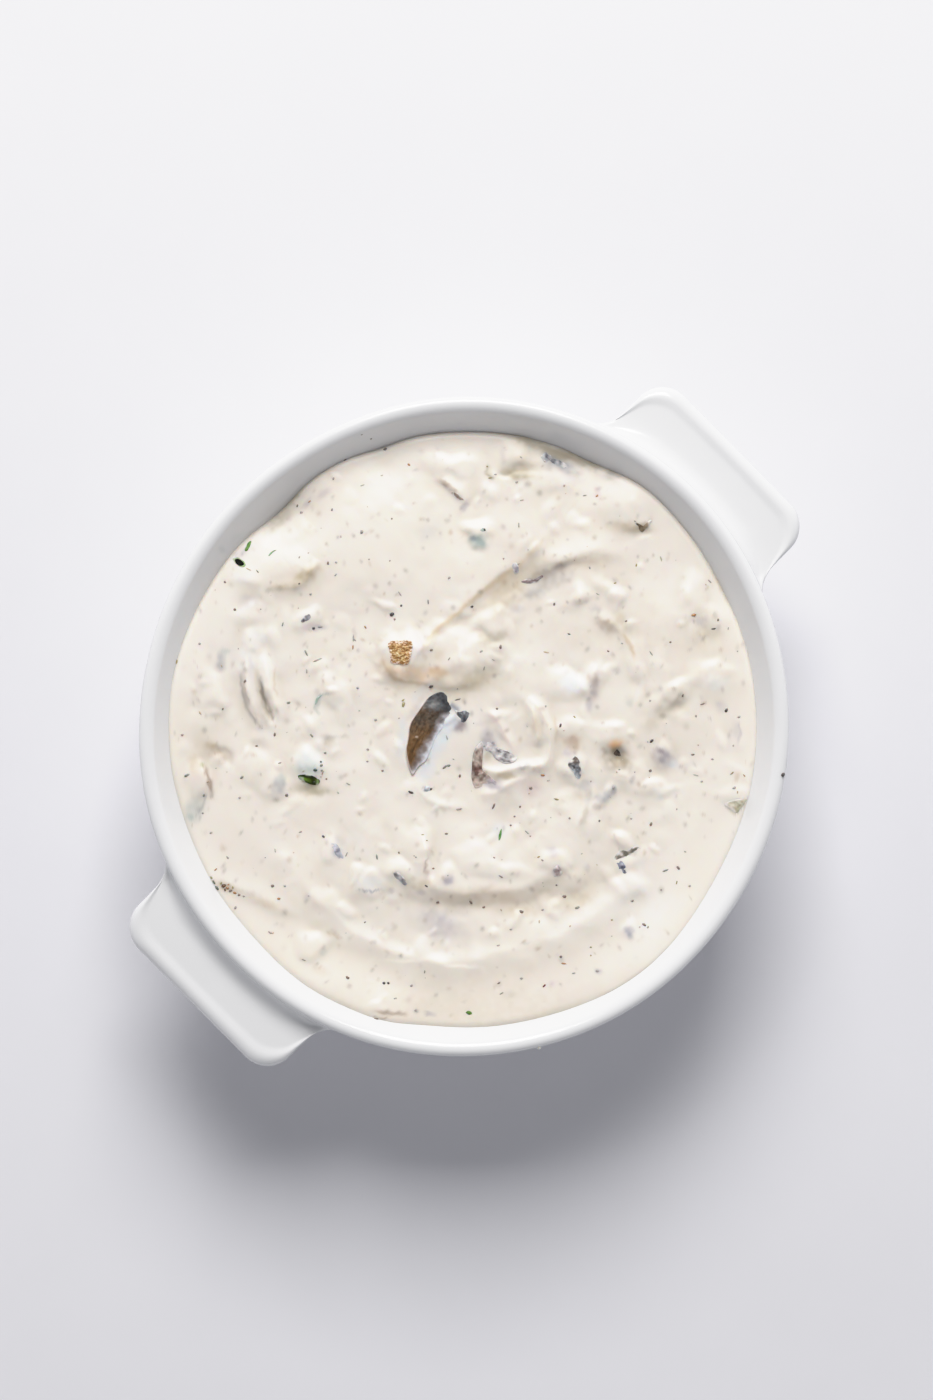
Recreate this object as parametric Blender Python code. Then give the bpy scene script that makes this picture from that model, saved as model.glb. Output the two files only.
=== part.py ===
"""A round eared dish of glazed stoneware, filled with thick ranch dressing.

The dish stands on its foot ring with its two lug handles along X. The dressing fills it to about
seven millimetres below the lip. Its top keeps the marks of the spoon that stirred it, and four larger
toppings sit in it: two pieces of browned mushroom, a mushroom stem and a piece of spring onion.
All lengths are in metres.
"""
import math

import bpy
import numpy as np
from mathutils import Vector
from mathutils.geometry import delaunay_2d_cdt

MM = 0.001

# The dish.
DISH_HEIGHT = 50 * MM
LIP_RADIUS = 76.2 * MM
LIP_WIDTH = 3.2 * MM
FLOOR_HEIGHT = 6 * MM
FLOOR_CORNER_RADIUS = 26 * MM
FLARE_LEAN = math.radians(28.5)    # The inside flares out from the flare's height up to the lip.
FLARE_HEIGHT = 38 * MM
WALL_LEAN = math.radians(14)       # The inside below that leans less, and so does the outside.
OUTSIDE_LEAN = math.radians(22)
COLLAR_RADIUS = 75.4 * MM          # The outside is nearly upright from the lip down to here.
COLLAR_HEIGHT = 43.5 * MM
LOW_WALL_HEIGHT = 22 * MM
LOW_CORNER_RADIUS = 14 * MM
FOOT_OUTER_RADIUS = 48.5 * MM
FOOT_INNER_RADIUS = 44 * MM
FOOT_HEIGHT = 3.4 * MM
FOOT_RECESS = 1.6 * MM
OVAL = 0.0104                      # The dish is this much longer along its oval's turn than round.
OVAL_TURN = math.radians(22.6)

# The lug handles: flat ears with rounded corners, below the lip.
LUG_REACH = 90.2 * MM
LUG_HALF_WIDTH = 24.9 * MM
LUG_CORNER_RADIUS = 7.3 * MM
LUG_FILLET_RADIUS = 9.5 * MM
LUG_ROOT_RADIUS = 75 * MM
LUG_TOP_AT_ROOT = 45.1 * MM
LUG_TOP_AT_DIP = 45 * MM           # The top is lowest here, and rises again towards its edge.
LUG_DIP_RADIUS = 83 * MM
LUG_TOP_AT_EDGE = 45.9 * MM
LUG_BOTTOM_AT_EDGE = 40.2 * MM
LUG_BOTTOM_AT_ROOT = 39.2 * MM
LUG_EDGE_ROUNDING = 2.3 * MM
LUG_JOIN_TOP = 48.1 * MM           # Heights on the wall where the lug's fillets start and end.
LUG_JOIN_BOTTOM = 36 * MM

# The dressing. Its features are placed along u and v, the sides of the table that the dish was
# stirred on: u is to the right and v is away, and the lugs lie turned from u by LUG_TURN.
LUG_TURN = math.radians(45.35)
DRESSING_LEVEL = 43 * MM
GAP = 0.3 * MM
LATTICE = 3.7 * MM

# Where the dressing's edge stands higher or lower on the wall: bearing in degrees from u, rise in
# millimetres, and how many degrees the swell spreads to each side.
EDGE_SWELLS = (
    (28, -0.7, 8), (52, 1.0, 8), (64, -1.9, 6), (82, -0.4, 14), (107, -1.0, 5), (131, -2.9, 8),
    (172, 1.2, 20), (205, -0.5, 10), (241, 2.5, 13), (282, 0.7, 14), (306, 2.5, 18),
)

# Ridges left by the spoon: rise, half width and a path of (u, v), all in millimetres.
RIDGES = (
    # The long outer arc round the near side.
    (1.9, 3.4, ((-41.6, -28.4), (-31.1, -40.8), (-16.5, -52.5), (-3.4, -56.0), (16.3, -50.2),
                (29.7, -41.5), (41.2, -33.1))),
    # The lip of the shelf inside it.
    (1.1, 4.0, ((-18.0, -34.0), (-8.0, -36.5), (8.0, -36.0), (21.0, -34.5))),
    # The high fold that runs from the far right down to the mushroom stem.
    (2.4, 4.2, ((32.7, 50.7), (26.6, 48.3), (14.4, 40.6), (4.3, 33.3), (-7.9, 22.0))),
    # The short crest beside the fold.
    (1.9, 3.2, ((16.5, 38.0), (22.0, 42.0), (31.0, 44.6), (40.4, 42.7), (45.5, 37.0))),
    # The small curl round the second mushroom piece.
    (1.3, 2.6, ((15.5, 3.5), (19.1, -2.8), (18.0, -8.0), (12.8, -10.6))),
)

# Troughs beside the ridges, in the same form with a negative rise.
TROUGHS = (
    (-1.7, 4.2, ((-17.0, -39.5), (-4.0, -42.5), (12.0, -41.5), (26.0, -37.0))),
    (-1.8, 3.6, ((36.0, 39.0), (22.0, 35.5), (12.0, 30.0), (4.0, 22.0))),
    (-1.2, 3.6, ((-44.0, 37.5), (-37.0, 34.5), (-31.0, 34.0))),
)

# Mounds of dressing over what is sunk in it: u, v, half length, half width, turn in degrees, rise.
MOUNDS = (
    (-6.0, 16.5, 11.5, 6.0, 3, 2.0), (23.9, 10.4, 4.4, 3.6, -10, 1.6), (38.0, 52.8, 5.2, 4.0, 0, 1.5),
    (11.8, 62.0, 3.6, 3.4, 0, 1.8), (27.0, 30.0, 3.8, 3.4, 0, 1.2), (35.5, 29.0, 3.8, 3.4, 0, 1.2),
    (55.0, 31.4, 5.2, 5.0, 0, 1.5), (58.5, 10.5, 5.5, 5.0, 0, 1.1), (-50.5, 33.5, 5.5, 3.6, 10, 1.5),
    (-51.0, 20.5, 5.0, 4.2, 0, 1.2), (-48.5, 5.0, 8.0, 4.4, 115, 1.7), (-56.5, -3.0, 4.6, 4.0, 0, 1.3),
    (-47.0, -7.0, 4.4, 3.8, 0, 1.3), (-58.5, -14.0, 6.5, 4.0, 65, 1.8), (-31.0, 9.5, 4.2, 4.0, 0, 1.3),
    (-36.2, -5.0, 4.4, 4.4, 0, 1.2), (-10.7, -28.7, 5.0, 2.8, 80, 1.6), (-35.0, -50.5, 4.0, 3.6, 0, 1.4),
    (-46.0, 38.5, 5.0, 3.8, 20, 1.2), (8.5, -12.8, 5.0, 3.0, 0, 0.9),
)

# The toppings, as paths through each piece: (u, v, height, half width, half depth) in millimetres.
MUSHROOM_SLICE_PATH = (
    (-4.6, 8.0, 43.2, 0.9, 0.9), (-6.2, 5.2, 43.0, 3.1, 2.0), (-7.9, 1.6, 42.8, 3.9, 2.4),
    (-9.3, -2.4, 42.7, 3.7, 2.4), (-10.6, -6.2, 42.6, 2.7, 2.1), (-11.7, -9.8, 42.6, 0.8, 0.9),
)
MUSHROOM_PIECE_PATH = (
    (2.6, -14.2, 42.7, 0.9, 1.2), (2.8, -11.0, 42.8, 1.9, 2.0), (3.6, -7.0, 43.0, 1.9, 2.1),
    (6.0, -3.6, 43.2, 1.9, 2.1), (9.0, -5.0, 43.1, 1.9, 2.0), (12.4, -8.2, 42.8, 0.9, 1.2),
)
MUSHROOM_STEM_PATH = (
    (-15.2, 17.5, 45.0, 2.4, 2.4), (-13.6, 17.3, 43.2, 2.7, 2.6), (-11.6, 17.0, 41.3, 2.8, 2.7),
    (-9.4, 16.6, 39.4, 2.6, 2.5),
)
SPRING_ONION_PATH = (
    (-36.0, -12.2, 42.5, 2.4, 2.0), (-36.1, -9.8, 42.6, 2.7, 2.6), (-36.2, -6.8, 42.7, 2.7, 2.6),
    (-36.3, -3.8, 42.7, 2.4, 2.2),
)

# How finely the solids are faceted.
COLUMNS_END = 2
COLUMNS_CORNER = 3
COLUMNS_SIDE = 2
COLUMNS_FILLET = 3
COLUMNS_WALL = 10
SECTION_SIDES = 12


def clear_scene():
    for old in list(bpy.data.objects):
        bpy.data.objects.remove(old, do_unlink=True)


def glossy_material(name, colour, roughness):
    material = bpy.data.materials.new(name)
    material.use_nodes = True
    shader = material.node_tree.nodes["Principled BSDF"]
    shader.inputs["Base Color"].default_value = (*colour, 1.0)
    shader.inputs["Roughness"].default_value = roughness
    shader.inputs["Metallic"].default_value = 0.0
    return material


def solid_object(name, vertices, faces, material):
    """One closed mesh object whose vertices are already in their place."""
    mesh = bpy.data.meshes.new(name)
    mesh.from_pydata([tuple(vertex) for vertex in vertices], [], faces)
    mesh.validate()
    mesh.shade_smooth()
    mesh.set_sharp_from_angle(angle=math.radians(50))
    if material is not None:
        mesh.materials.append(material)
    piece = bpy.data.objects.new(name, mesh)
    bpy.context.scene.collection.objects.link(piece)
    return piece


def rounded_corner(before, corner, after, radius, steps):
    """Points of the arc of this radius that rounds the corner between two straight runs."""
    corner = np.array(corner)
    to_before = np.array(before) - corner
    to_after = np.array(after) - corner
    to_before = to_before / np.linalg.norm(to_before)
    to_after = to_after / np.linalg.norm(to_after)
    half_angle = math.acos(np.clip(to_before @ to_after, -1, 1)) / 2
    setback = radius / math.tan(half_angle)
    middle = to_before + to_after
    centre = corner + middle / np.linalg.norm(middle) * radius / math.sin(half_angle)
    first = corner + to_before * setback - centre
    last = corner + to_after * setback - centre
    sweep = math.atan2(first[0] * last[1] - first[1] * last[0], first @ last)
    turns = np.linspace(0, sweep, steps + 1)
    return [(centre[0] + first[0] * math.cos(t) - first[1] * math.sin(t),
             centre[1] + first[0] * math.sin(t) + first[1] * math.cos(t)) for t in turns]


def rounded_outline(corners):
    """An open outline of (radius, height, rounding, steps) corners; zero rounding keeps the corner."""
    points = []
    for index, (radius, height, rounding, steps) in enumerate(corners):
        if rounding == 0:
            points.append((radius, height))
            continue
        before = corners[index - 1][:2]
        after = corners[index + 1][:2]
        points.extend(rounded_corner(before, (radius, height), after, rounding, steps))
    return points


def oval(bearing):
    """How much further out than a round dish's the dish's outline lies at a bearing from +X."""
    return 1 + OVAL * np.cos(2 * (bearing - OVAL_TURN))


def wall_radius(height):
    """Radius of the inside wall: the flare below the lip, and the steeper wall below the flare."""
    flare = max(height, FLARE_HEIGHT)
    radius = LIP_RADIUS - LIP_WIDTH - (DISH_HEIGHT - flare) * math.tan(FLARE_LEAN)
    return radius - (flare - height) * math.tan(WALL_LEAN)


def outer_radius(height):
    """Radius of the outside: nearly upright down to the collar's edge, then leaning in."""
    above = height - COLLAR_HEIGHT
    collar_slope = (LIP_RADIUS - COLLAR_RADIUS) / (DISH_HEIGHT - COLLAR_HEIGHT)
    return COLLAR_RADIUS + above * (collar_slope if above > 0 else math.tan(OUTSIDE_LEAN))


def inside_outline(inset):
    """The inside of the dish, moved in by the inset: the middle of the floor and its round corner."""
    lean = inset / math.cos(FLARE_LEAN)
    floor = FLOOR_HEIGHT + inset
    return rounded_outline([
        (0, floor, 0, 0),
        (wall_radius(floor) - lean, floor, FLOOR_CORNER_RADIUS - inset, 4),
        (wall_radius(FLARE_HEIGHT) - lean, FLARE_HEIGHT, 0, 0),
    ])


def dish_sections():
    """The dish's section without and with a lug, as two outlines with matching points.

    Both run from the middle of the floor up the inside, over the lip and down the outside to the
    middle of the underside. The rows between the collar and the lower wall are the ones that the
    second section carries out round the lug.
    """
    inside = inside_outline(0)
    lip = rounded_outline([
        (wall_radius(DRESSING_LEVEL), DRESSING_LEVEL, 0, 0),
        (LIP_RADIUS - LIP_WIDTH, DISH_HEIGHT, 2.3 * MM, 3),
        (LIP_RADIUS, DISH_HEIGHT, 1.5 * MM, 3),
        (COLLAR_RADIUS, COLLAR_HEIGHT, 0, 0),
    ])[1:-1]
    lug = rounded_outline([
        (outer_radius(LUG_JOIN_TOP), LUG_JOIN_TOP, 0, 0),
        (outer_radius(LUG_TOP_AT_ROOT) + 1.6 * MM, LUG_TOP_AT_ROOT, 3.6 * MM, 2),
        (LUG_DIP_RADIUS, LUG_TOP_AT_DIP, 0, 0),
        (LUG_REACH, LUG_TOP_AT_EDGE, LUG_EDGE_ROUNDING, 2),
        (LUG_REACH, LUG_BOTTOM_AT_EDGE, LUG_EDGE_ROUNDING, 2),
        (outer_radius(LUG_BOTTOM_AT_ROOT) + 0.6 * MM, LUG_BOTTOM_AT_ROOT, 2.5 * MM, 2),
        (outer_radius(LUG_JOIN_BOTTOM), LUG_JOIN_BOTTOM, 0, 0),
    ])
    plain = [(outer_radius(height), height)
             for height in np.linspace(LUG_JOIN_TOP, LUG_JOIN_BOTTOM, len(lug))]
    underside = rounded_outline([
        (outer_radius(LOW_WALL_HEIGHT), LOW_WALL_HEIGHT, 0, 0),
        (outer_radius(FOOT_HEIGHT), FOOT_HEIGHT, LOW_CORNER_RADIUS, 4),
        (FOOT_OUTER_RADIUS, FOOT_HEIGHT, 0, 0),
        (FOOT_OUTER_RADIUS - 0.3 * MM, 0, 0, 0),
        (FOOT_INNER_RADIUS, 0, 0, 0),
        (FOOT_INNER_RADIUS - 1.2 * MM, FOOT_RECESS, 0, 0),
        (0, FOOT_RECESS, 0, 0),
    ])[1:]
    without_lug = np.array(inside + lip + plain + underside)
    with_lug = np.array(inside + lip + lug + underside)
    return without_lug, with_lug


def quarter_columns():
    """Bearings of the dish's columns over a quarter turn, and how far each reaches into the lug.

    From the lug's middle the columns fan along its straight end, round its corner, back along its
    side and round the fillet to the wall, and from there they go on round the dish.
    """
    reach = LUG_ROOT_RADIUS + LUG_FILLET_RADIUS
    fillet_y = LUG_HALF_WIDTH + LUG_FILLET_RADIUS
    fillet_x = math.sqrt(reach ** 2 - fillet_y ** 2)
    meeting = math.atan2(fillet_y, fillet_x)
    corner_x = LUG_REACH - LUG_CORNER_RADIUS
    corner_y = LUG_HALF_WIDTH - LUG_CORNER_RADIUS
    edge = [(LUG_REACH, corner_y * step / COLUMNS_END) for step in range(COLUMNS_END)]
    for step in range(COLUMNS_CORNER):
        turn = math.pi / 2 * step / COLUMNS_CORNER
        edge.append((corner_x + LUG_CORNER_RADIUS * math.cos(turn),
                     corner_y + LUG_CORNER_RADIUS * math.sin(turn)))
    for step in range(COLUMNS_SIDE):
        along = step / COLUMNS_SIDE
        edge.append((corner_x + (fillet_x - corner_x) * along, LUG_HALF_WIDTH))
    for step in range(COLUMNS_FILLET + 1):
        turn = -math.pi / 2 - (math.pi / 2 - meeting) * step / COLUMNS_FILLET
        edge.append((fillet_x + LUG_FILLET_RADIUS * math.cos(turn),
                     fillet_y + LUG_FILLET_RADIUS * math.sin(turn)))
    edge = np.array(edge)
    runs = np.linalg.norm(np.diff(edge, axis=0), axis=1)
    along = np.concatenate(([0], np.cumsum(runs)))
    bearings = np.arcsin(along / along[-1] * math.sin(meeting))
    roots = LUG_ROOT_RADIUS * np.stack([np.cos(bearings), np.sin(bearings)], axis=1)
    reaches = edge - roots
    wall_bearings = np.linspace(meeting, math.pi / 2, COLUMNS_WALL + 1)[1:]
    bearings = np.concatenate([bearings, wall_bearings])
    reaches = np.concatenate([reaches, np.zeros((COLUMNS_WALL, 2))])
    return bearings, reaches


def all_columns():
    """The quarter's columns carried round the whole dish by mirroring."""
    bearings, reaches = quarter_columns()
    back = slice(-2, None, -1)
    half_bearings = np.concatenate([bearings, math.pi - bearings[back]])
    half_reaches = np.concatenate([reaches, reaches[back] * (-1, 1)])
    far = slice(-2, 0, -1)
    bearings = np.concatenate([half_bearings, 2 * math.pi - half_bearings[far]])
    reaches = np.concatenate([half_reaches, half_reaches[far] * (1, -1)])
    return bearings, reaches


def turned_faces(rows, columns):
    """Quads between rings, with a fan to the first vertex and a fan to the last one.

    The rings run anticlockwise and go from the top inwards to the underside, so that the faces of
    a solid whose first vertex lies on top point out.
    """
    faces = [(0, 1 + column, 1 + (column + 1) % columns) for column in range(columns)]
    for row in range(rows - 1):
        for column in range(columns):
            following = (column + 1) % columns
            here = 1 + row * columns
            there = here + columns
            faces.append((here + column, there + column, there + following, here + following))
    last = 1 + rows * columns
    final_ring = last - columns
    faces.extend((last, final_ring + (column + 1) % columns, final_ring + column)
                 for column in range(columns))
    return faces


def make_bowl(material):
    without_lug, with_lug = dish_sections()
    bearings, reaches = all_columns()
    full_reach = LUG_REACH - LUG_ROOT_RADIUS
    carried = (with_lug[:, 0] - without_lug[:, 0]) / full_reach
    lifted = with_lug[:, 1] - without_lug[:, 1]
    share = np.linalg.norm(reaches, axis=1) / full_reach
    settled = np.clip(share * 2.5, 0, 1)
    settled = settled * settled * (3 - 2 * settled)
    radius = without_lug[1:-1, 0][:, None]
    across = carried[1:-1][:, None]
    x = (radius * np.cos(bearings) + across * reaches[:, 0]) * oval(bearings)
    y = (radius * np.sin(bearings) + across * reaches[:, 1]) * oval(bearings)
    z = without_lug[1:-1, 1][:, None] + lifted[1:-1][:, None] * settled
    rings = np.stack([x, y, z], axis=-1).reshape(-1, 3)
    vertices = np.vstack([(0, 0, FLOOR_HEIGHT), rings, (0, 0, FOOT_RECESS)])
    faces = turned_faces(len(radius), len(bearings))
    return solid_object("bowl", vertices, faces, material)


def to_table(x, y):
    """Millimetres along u and v of a place in the dish."""
    u = x * math.cos(LUG_TURN) - y * math.sin(LUG_TURN)
    v = x * math.sin(LUG_TURN) + y * math.cos(LUG_TURN)
    return u / MM, v / MM


def from_table(u, v):
    """Place in the dish, in metres, of millimetres along u and v."""
    x = u * math.cos(LUG_TURN) + v * math.sin(LUG_TURN)
    y = -u * math.sin(LUG_TURN) + v * math.cos(LUG_TURN)
    return x * MM, y * MM


def path_distance(u, v, path):
    """Distance from each place to a path, and how far along the path its nearest point lies, 0 to 1."""
    best = np.full(u.shape, np.inf)
    along = np.zeros(u.shape)
    points = np.array(path, float)
    runs = np.linalg.norm(np.diff(points, axis=0), axis=1)
    starts = np.concatenate(([0], np.cumsum(runs)))
    for start, end, run, before in zip(points[:-1], points[1:], runs, starts):
        way = (end - start) / run
        reach = np.clip((u - start[0]) * way[0] + (v - start[1]) * way[1], 0, run)
        distance = np.hypot(u - start[0] - way[0] * reach, v - start[1] - way[1] * reach)
        nearer = distance < best
        best = np.where(nearer, distance, best)
        along = np.where(nearer, (before + reach) / starts[-1], along)
    return best, along


def relief(u, v):
    """Height of the stirred top over its level, in millimetres: ridges, troughs and mounds."""
    height = np.zeros(u.shape)
    for rise, half_width, path in RIDGES + TROUGHS:
        distance, along = path_distance(u, v, path)
        taper = np.sqrt(np.clip(np.sin(math.pi * (0.12 + 0.76 * along)), 0, 1))
        height += rise * taper * np.exp(-(distance / half_width) ** 2)
    for centre_u, centre_v, half_length, half_width, turn, rise in MOUNDS:
        angle = math.radians(turn)
        length = ((u - centre_u) * math.cos(angle) + (v - centre_v) * math.sin(angle)) / half_length
        width = (-(u - centre_u) * math.sin(angle) + (v - centre_v) * math.cos(angle)) / half_width
        height += rise * np.exp(-(length ** 2 + width ** 2) ** 1.4)
    return height


def edge_rise(bearing):
    """Height of the dressing's edge on the wall over its level, in millimetres, by bearing from u."""
    rise = np.zeros(bearing.shape)
    for centre, swell, spread in EDGE_SWELLS:
        away = (np.degrees(bearing) - centre + 180) % 360 - 180
        rise += swell * np.exp(-(away / spread) ** 2)
    return rise


def dressing_height(x, y):
    """Height of the dressing's top at a place in the dish, in metres."""
    u, v = to_table(x, y)
    out = np.hypot(x, y) / oval(np.arctan2(y, x)) / wall_radius(DRESSING_LEVEL)
    near_wall = np.clip((out - 0.72) / 0.28, 0, 1)
    near_wall = near_wall * near_wall * (3 - 2 * near_wall)
    inner = relief(u, v) * (1 - 0.75 * near_wall)
    return DRESSING_LEVEL + (inner + edge_rise(np.arctan2(v, u)) * near_wall) * MM


def make_dressing(material):
    """The dressing: its lattice-meshed top, its side along the wall and its flat bottom."""
    bearings, _ = all_columns()
    columns = len(bearings)
    side = inside_outline(GAP)[1:]
    level_radius = wall_radius(DRESSING_LEVEL) - GAP / math.cos(FLARE_LEAN)
    cos = np.cos(bearings) * oval(bearings)
    sin = np.sin(bearings) * oval(bearings)
    rise = dressing_height(level_radius * cos, level_radius * sin) - DRESSING_LEVEL
    edge_radius = level_radius + rise * math.tan(FLARE_LEAN)
    edge = np.stack([edge_radius * cos, edge_radius * sin, DRESSING_LEVEL + rise], axis=1)
    rings = [edge]
    for radius, height in reversed(side):
        rings.append(np.stack([radius * cos, radius * sin, np.full(columns, height)], axis=1))
    vertices = [tuple(vertex) for ring in rings for vertex in ring]
    faces = []
    for row in range(len(rings) - 1):
        for column in range(columns):
            following = (column + 1) % columns
            here = row * columns
            faces.append((here + column, here + columns + column,
                          here + columns + following, here + following))
    bottom = len(vertices)
    vertices.append((0, 0, FLOOR_HEIGHT + GAP))
    final_ring = bottom - columns
    faces.extend((bottom, final_ring + (column + 1) % columns, final_ring + column)
                 for column in range(columns))

    lattice = [Vector((point[0], point[1])) for point in edge]
    row_pitch = LATTICE * math.sqrt(3) / 2
    row_count = int(LIP_RADIUS / row_pitch) + 1
    step_count = int(LIP_RADIUS / LATTICE) + 1
    inner_radius = level_radius - 0.75 * LATTICE
    for row in range(-row_count, row_count + 1):
        for step in range(-step_count, step_count + 1):
            x = (step + 0.5 * (row % 2)) * LATTICE
            y = row * row_pitch
            if math.hypot(x, y) / oval(math.atan2(y, x)) < inner_radius:
                lattice.append(Vector((x, y)))
    rim = [list(range(columns))]
    points, _, triangles, origins, _, _ = delaunay_2d_cdt(lattice, [], rim, 1, 1e-6)
    place = {}
    inner_xy = np.array([tuple(point) for point in points])
    heights = dressing_height(inner_xy[:, 0], inner_xy[:, 1])
    for index, point in enumerate(points):
        origin = origins[index][0]
        if origin < columns:
            place[index] = origin
        else:
            place[index] = len(vertices)
            vertices.append((point[0], point[1], heights[index]))
    for triangle in triangles:
        faces.append(tuple(place[index] for index in triangle))
    return solid_object("dressing", vertices, faces, material)


def swept_piece(name, path, material, clearance=0.0):
    """A lump of food: oval sections set square across a path, closed at both ends by fans."""
    middles = []
    for u, v, height, _, _ in path:
        x, y = from_table(u, v)
        middles.append((x, y, height * MM))
    middles = np.array(middles)
    half_sizes = np.array([row[3:] for row in path]) * MM + clearance
    along = np.gradient(middles, axis=0)
    along = along / np.linalg.norm(along, axis=1)[:, None]
    middles[0] -= along[0] * clearance
    middles[-1] += along[-1] * clearance
    across = np.cross((0, 0, 1), along)
    across = across / np.linalg.norm(across, axis=1)[:, None]
    upward = np.cross(along, across)
    turns = np.arange(SECTION_SIDES) * 2 * math.pi / SECTION_SIDES
    wide = np.sign(np.cos(turns)) * np.abs(np.cos(turns)) ** 0.8
    tall = np.sign(np.sin(turns)) * np.abs(np.sin(turns)) ** 0.8
    rings = (middles[:, None] + across[:, None] * (half_sizes[:, :1] * wide)[..., None]
             + upward[:, None] * (half_sizes[:, 1:] * tall)[..., None])
    vertices = np.vstack([middles[0], rings.reshape(-1, 3), middles[-1]])
    faces = [face[::-1] for face in turned_faces(len(path), SECTION_SIDES)]
    return solid_object(name, vertices, faces, material)


def cut_round(dressing, name, path):
    """Cut a pocket in the dressing that leaves the gap all round a topping."""
    cutter = swept_piece(name + "_pocket", path, None, clearance=GAP)
    cutter.hide_render = True
    cutter.display_type = 'WIRE'
    pocket = dressing.modifiers.new(name + "_pocket", 'BOOLEAN')
    pocket.operation = 'DIFFERENCE'
    pocket.solver = 'EXACT'
    pocket.object = cutter


clear_scene()
glaze = glossy_material("white_glazed_stoneware", (0.84, 0.84, 0.85), 0.12)
cream = glossy_material("ranch_dressing", (0.86, 0.80, 0.70), 0.30)
brown_mushroom = glossy_material("browned_mushroom", (0.11, 0.07, 0.045), 0.25)
grey_mushroom = glossy_material("cooked_mushroom", (0.24, 0.17, 0.14), 0.40)
cut_stem = glossy_material("toasted_mushroom_stem", (0.52, 0.33, 0.16), 0.70)
onion_green = glossy_material("spring_onion", (0.35, 0.45, 0.33), 0.35)

make_bowl(glaze)
dressing_body = make_dressing(cream)
for topping, topping_path, topping_material in (
        ("mushroom_slice", MUSHROOM_SLICE_PATH, brown_mushroom),
        ("mushroom_piece", MUSHROOM_PIECE_PATH, grey_mushroom),
        ("mushroom_stem", MUSHROOM_STEM_PATH, cut_stem),
        ("spring_onion", SPRING_ONION_PATH, onion_green)):
    swept_piece(topping, topping_path, topping_material)
    cut_round(dressing_body, topping, topping_path)
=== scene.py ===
"""A bowl of ranch dressing: a white eared dish, thick dressing, mushroom, spring onion and herbs."""

import math

import bpy
import numpy as np
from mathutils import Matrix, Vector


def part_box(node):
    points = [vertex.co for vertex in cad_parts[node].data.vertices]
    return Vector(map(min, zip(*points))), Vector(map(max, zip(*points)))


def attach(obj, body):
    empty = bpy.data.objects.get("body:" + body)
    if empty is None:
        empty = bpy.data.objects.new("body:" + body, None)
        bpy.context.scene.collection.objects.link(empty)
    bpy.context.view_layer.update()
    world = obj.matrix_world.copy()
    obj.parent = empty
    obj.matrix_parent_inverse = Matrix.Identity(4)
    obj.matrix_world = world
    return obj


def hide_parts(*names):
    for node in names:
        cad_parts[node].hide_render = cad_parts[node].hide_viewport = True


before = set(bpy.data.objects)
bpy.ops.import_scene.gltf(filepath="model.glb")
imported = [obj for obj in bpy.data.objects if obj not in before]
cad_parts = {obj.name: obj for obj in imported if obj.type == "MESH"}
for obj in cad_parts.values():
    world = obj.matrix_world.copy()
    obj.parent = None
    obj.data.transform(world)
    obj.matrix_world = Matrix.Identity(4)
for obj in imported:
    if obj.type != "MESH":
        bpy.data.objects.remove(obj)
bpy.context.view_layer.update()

# ------------------------------------------------------------------------------------------------
# The dish is a round eared dish of white stoneware, thrown to a thin rounded lip. Two flat lugs are
# pressed onto the wall below the lip, and a clear gloss glaze runs thick in the corners.
# ------------------------------------------------------------------------------------------------
MM = 0.001
DISH_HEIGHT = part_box("bowl")[1].z
OVAL = 0.0104
OVAL_TURN = math.radians(22.6)
LUG_REACH = 90.2 * MM
LIP_RADIUS = 76.2 * MM
LIP_WIDTH = 3.2 * MM
LIP_INNER_ROUNDING = 2.5 * MM
LIP_OUTER_ROUNDING = 1.5 * MM
LIP_DEPTH = 4 * MM
FLOOR_HEIGHT = 6 * MM
FLOOR_ROUNDING = 26 * MM
FLARE_LEAN = math.radians(28.5)
FLARE_HEIGHT = 38 * MM
FLARE_ROUNDING = 8 * MM
WALL_LEAN = math.radians(14)
OUTSIDE_LEAN = math.radians(22)
COLLAR_RADIUS = 75.4 * MM
COLLAR_HEIGHT = 43.5 * MM
FOOT_OUTER_RADIUS = 48.5 * MM
FOOT_INNER_RADIUS = 44 * MM
FOOT_HEIGHT = 3.4 * MM
FOOT_RECESS = 1.6 * MM
FOOT_ROUNDING = 0.8 * MM
FOOT_CORNER = 14 * MM
LUG_HALF_WIDTH = 24.9 * MM
LUG_CORNER = 7.3 * MM
LUG_FILLET = 9.5 * MM
LUG_ROOT = 75 * MM
LUG_JOIN_TOP = 48.3 * MM
LUG_JOIN_BOTTOM = 36 * MM
LUG_TOP = 45.9 * MM
LUG_HOLLOW = 44.9 * MM
LUG_HOLLOW_RADIUS = 86 * MM
LUG_SHOULDER = 45 * MM
LUG_END_BOTTOM = 40.2 * MM
LUG_UNDERSIDE = 39.2 * MM
LUG_EDGE_ROUNDING = 2.4 * MM
WOBBLE_START = 30 * MM
SLOW_WOBBLE = 0.16 * MM
QUICK_WOBBLE = 0.10 * MM
LIP_SAG = 0.12 * MM


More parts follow.
